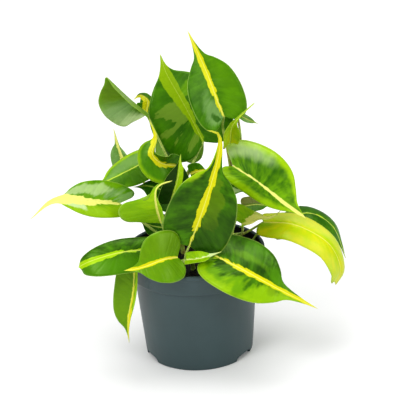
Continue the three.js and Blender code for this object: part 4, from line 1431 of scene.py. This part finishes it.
def peat_crumbs(name):
    """Crumbs of peat scattered over an uneven top, all in one mesh."""
    tree, given, out = new_group(
        name,
        (
            ("Fill", "Geometry"), ("Lumps", "Float", 0.002), ("Top", "Float", 0.08),
            ("Density", "Float", 100000.0), ("Crumb size", "Float", 0.0015), ("Seed", "Int", 0),
            ("Material", "Material"),
        ),
        (("Peat", "Geometry"),),
        "GeometryNodeTree",
    )
    place = add("GeometryNodeInputPosition", {}, 0, tree)
    above = maths("GREATER_THAN", add("ShaderNodeSeparateXYZ", {0: place}, "Z"), given["Top"])
    lift = combine(0.0, 0.0, (noise(place, LUMP_WAVES, 4.0, 0.6) - 0.55) * given["Lumps"])
    lumpy = add("GeometryNodeSetPosition", {"Geometry": given["Fill"], "Selection": above, "Offset": lift})
    scatter = {"Mesh": lumpy, "Selection": above, "Density": given["Density"], "Seed": given["Seed"]}
    spots = add("GeometryNodeDistributePointsOnFaces", scatter, "Points")
    ball = add("GeometryNodeMeshIcoSphere", {"Radius": 1.0, "Subdivisions": 1}, "Mesh", tree)
    bumpy = noise(place, CRUMB_WAVES)
    push = combine(bumpy - 0.5, bumpy - 0.5, 0.5 - bumpy)
    crumb = add("GeometryNodeSetPosition", {"Geometry": ball, "Offset": push})
    turn = random_value(tree, (0.0, 0.0, 0.0), ANY_TURN, TURN_SEED, 0, 0, "FLOAT_VECTOR")
    size = random_value(tree, SMALLEST_CRUMB, 1.0, SIZE_SEED)
    small = maths("POWER", size, SMALL_BIAS) * given["Crumb size"]
    copies = {"Points": spots, "Instance": crumb, "Rotation": turn, "Scale": small}
    many = add("GeometryNodeInstanceOnPoints", copies)
    toned = {"Geometry": many, "Name": "tone", "Value": random_value(tree, 0.0, 1.0, TONE_SEED)}
    many = add("GeometryNodeStoreNamedAttribute", toned, data_type="FLOAT", domain="INSTANCE")
    both = add("GeometryNodeJoinGeometry", {0: many})
    tree.links.new(lumpy.socket, both.socket.node.inputs[0])
    return finish_tree(tree, out, both, given["Material"])


class PHILODENDRON_OT_peat(bpy.types.Operator):
    """Makes the peat fill with its crumbly top"""

    bl_idname = "philodendron.peat"
    bl_label = "Make the Peat"

    def execute(self, context):
        s, pot = context.scene.philodendron_peat, context.scene.philodendron_pot
        top, band, wall = in_mm(pot, "height", "collar_height", "wall")
        body, collar, foot = (
            radius - wall - PEAT_GAP
            for radius in in_mm(pot, "body_top_radius", "collar_foot_radius", "foot_radius")
        )
        step, rim = top - band, collar + 0.7
        crown, edge = soil_high.z / MM - PEAT_CROWN_DROP, soil_high.z / MM - PEAT_RIM_DROP
        profile = [
            (0, PEAT_FLOOR), (foot, PEAT_FLOOR), (body, step - 1.8), (collar, step + 1.8), (rim, edge),
        ]
        for i in range(1, PEAT_RINGS):
            t = i / PEAT_RINGS
            profile.append((rim * (1 - t), edge + (crown - edge) * math.sin(t * math.pi / 2)))
        profile.append((0, crown))
        material = peat_material()
        fill = new_piece("peat_fill", *lathe(profile, PEAT_SEGMENTS), material)
        piece = grown(fill, "peat", peat_crumbs, {
            "Lumps": s.lumps, "Top": (edge - 0.8) * MM, "Density": float(s.crumbs),
            "Crumb size": s.crumb_size, "Seed": s.seed, "Material": material,
        })
        hand_over(piece, "soil")
        return {"FINISHED"}


# ---- stage ----

# Each soft light: its setting, its place, the place that it looks at and its width, in metres.
LIGHTS = (
    ("key", (-1.6, -1.8, 2.0), (0, 0, 0.12), 1.2),
    ("fill", (1.8, -1.6, 1.6), (0, 0, 0.12), 1.2),
    ("top", (0, 0.2, 2.6), (0, 0.2, 0), 1.6),
)
FLOOR_REACH = 6000
SENSOR_WIDTH = 36


def soft_light(name, place, target, width, power):
    light = bpy.data.lights.new(name, "AREA")
    light.shape = "RECTANGLE"
    light.size = light.size_y = width
    light.energy = power
    thing = new_object(name, light)
    thing.location = place
    thing.rotation_euler = (Vector(target) - Vector(place)).to_track_quat("-Z", "Y").to_euler()


def white_room(room, reflected):
    """A world that lights the plant evenly, is dimmer in its gloss and is white to the eye."""
    world = bpy.data.worlds.new("white_room")
    world.use_nodes = True
    tree = world.node_tree
    rays = add("ShaderNodeLightPath", {}, "Is Glossy Ray", tree)
    seen = maths("MAXIMUM", ramp(rays, 0.0, 1.0, room, reflected, soft=False), rays["Is Camera Ray"])
    feed(tree, tree.nodes["Background"], {"Color": (1, 1, 1, 1), "Strength": seen})
    return world


def pale_floor(tint):
    material, tree, shader = new_material("pale_floor")
    paper = noise(object_place(tree), 4.0, 2.0)
    base = mix(paper, rgba([c * 0.99 for c in tint]), rgba(tint))
    feed(tree, shader, {"Base Color": base, "Roughness": 0.9, "Specular IOR Level": 0.1})
    corners = [(x * FLOOR_REACH, y * FLOOR_REACH, 0) for x, y in ((-1, -1), (1, -1), (1, 1), (-1, 1))]
    return new_piece("floor", corners, [(0, 1, 2, 3)], material, False)


def camera_place(s):
    """The camera's matrix, from its angle above level, its roll and the place that it looks at."""
    forward = Vector((0, math.cos(s.elevation), -math.sin(s.elevation)))
    rise = Vector((0, math.sin(s.elevation), math.cos(s.elevation)))
    side = Vector((1, 0, 0))
    right = side * math.cos(s.roll) - rise * math.sin(s.roll)
    up = side * math.sin(s.roll) + rise * math.cos(s.roll)
    target = Vector((s.aim_right, 0, s.aim_height))
    turned = Matrix((right, up, -forward)).transposed().to_4x4()
    return Matrix.Translation(target - forward * s.distance) @ turned


class PHILODENDRON_OT_stage(bpy.types.Operator):
    """Makes the pale floor, the soft lights and the camera"""

    bl_idname = "philodendron.stage"
    bl_label = "Set the Stage"

    def execute(self, context):
        scene, s = context.scene, context.scene.philodendron_stage
        pale_floor(s.floor)
        scene.world = white_room(s.world, s.reflected)
        for setting, place, target, width in LIGHTS:
            soft_light(setting + "_light", place, target, width, getattr(s, setting))
        camera = bpy.data.cameras.new("camera")
        camera.sensor_width = SENSOR_WIDTH
        camera.lens = s.lens
        camera.clip_end = 50
        scene.camera = new_object("camera", camera)
        scene.camera.matrix_world = camera_place(s)
        scene.view_settings.view_transform = "Standard"
        scene.view_settings.look = "Medium High Contrast"
        return {"FINISHED"}


# ---- panel ----

SETTINGS = {
    "philodendron_stage": StageSettings,
    "philodendron_pot": PotSettings,
    "philodendron_peat": PeatSettings,
    "philodendron_stalks": StalkSettings,
    "philodendron_leaves": LeafSettings,
}


class PHILODENDRON_PT_panel(bpy.types.Panel):
    """Lists the plant's pieces with their settings"""

    bl_idname = "PHILODENDRON_PT_panel"
    bl_label = "Philodendron"
    bl_space_type = "VIEW_3D"
    bl_region_type = "UI"
    bl_category = "Philodendron"

    def draw(self, context):
        for group in SETTINGS:
            box = self.layout.box()
            box.operator(group.replace("_", "."))
            settings = getattr(context.scene, group)
            for name in settings.__annotations__:
                box.prop(settings, name)


CLASSES = (
    *SETTINGS.values(),
    PHILODENDRON_OT_stage,
    PHILODENDRON_OT_pot,
    PHILODENDRON_OT_peat,
    PHILODENDRON_OT_stalks,
    PHILODENDRON_OT_leaves,
    PHILODENDRON_PT_panel,
)


def register():
    for cls in CLASSES:
        bpy.utils.register_class(cls)
    for name, group in SETTINGS.items():
        setattr(bpy.types.Scene, name, PointerProperty(type=group))


def unregister():
    for name in SETTINGS:
        delattr(bpy.types.Scene, name)
    for cls in reversed(CLASSES):
        bpy.utils.unregister_class(cls)


def main():
    register()
    bpy.ops.philodendron.stage()
    bpy.ops.philodendron.pot()
    bpy.ops.philodendron.peat()
    bpy.ops.philodendron.stalks()
    bpy.ops.philodendron.leaves()


if __name__ == "__main__":
    main()
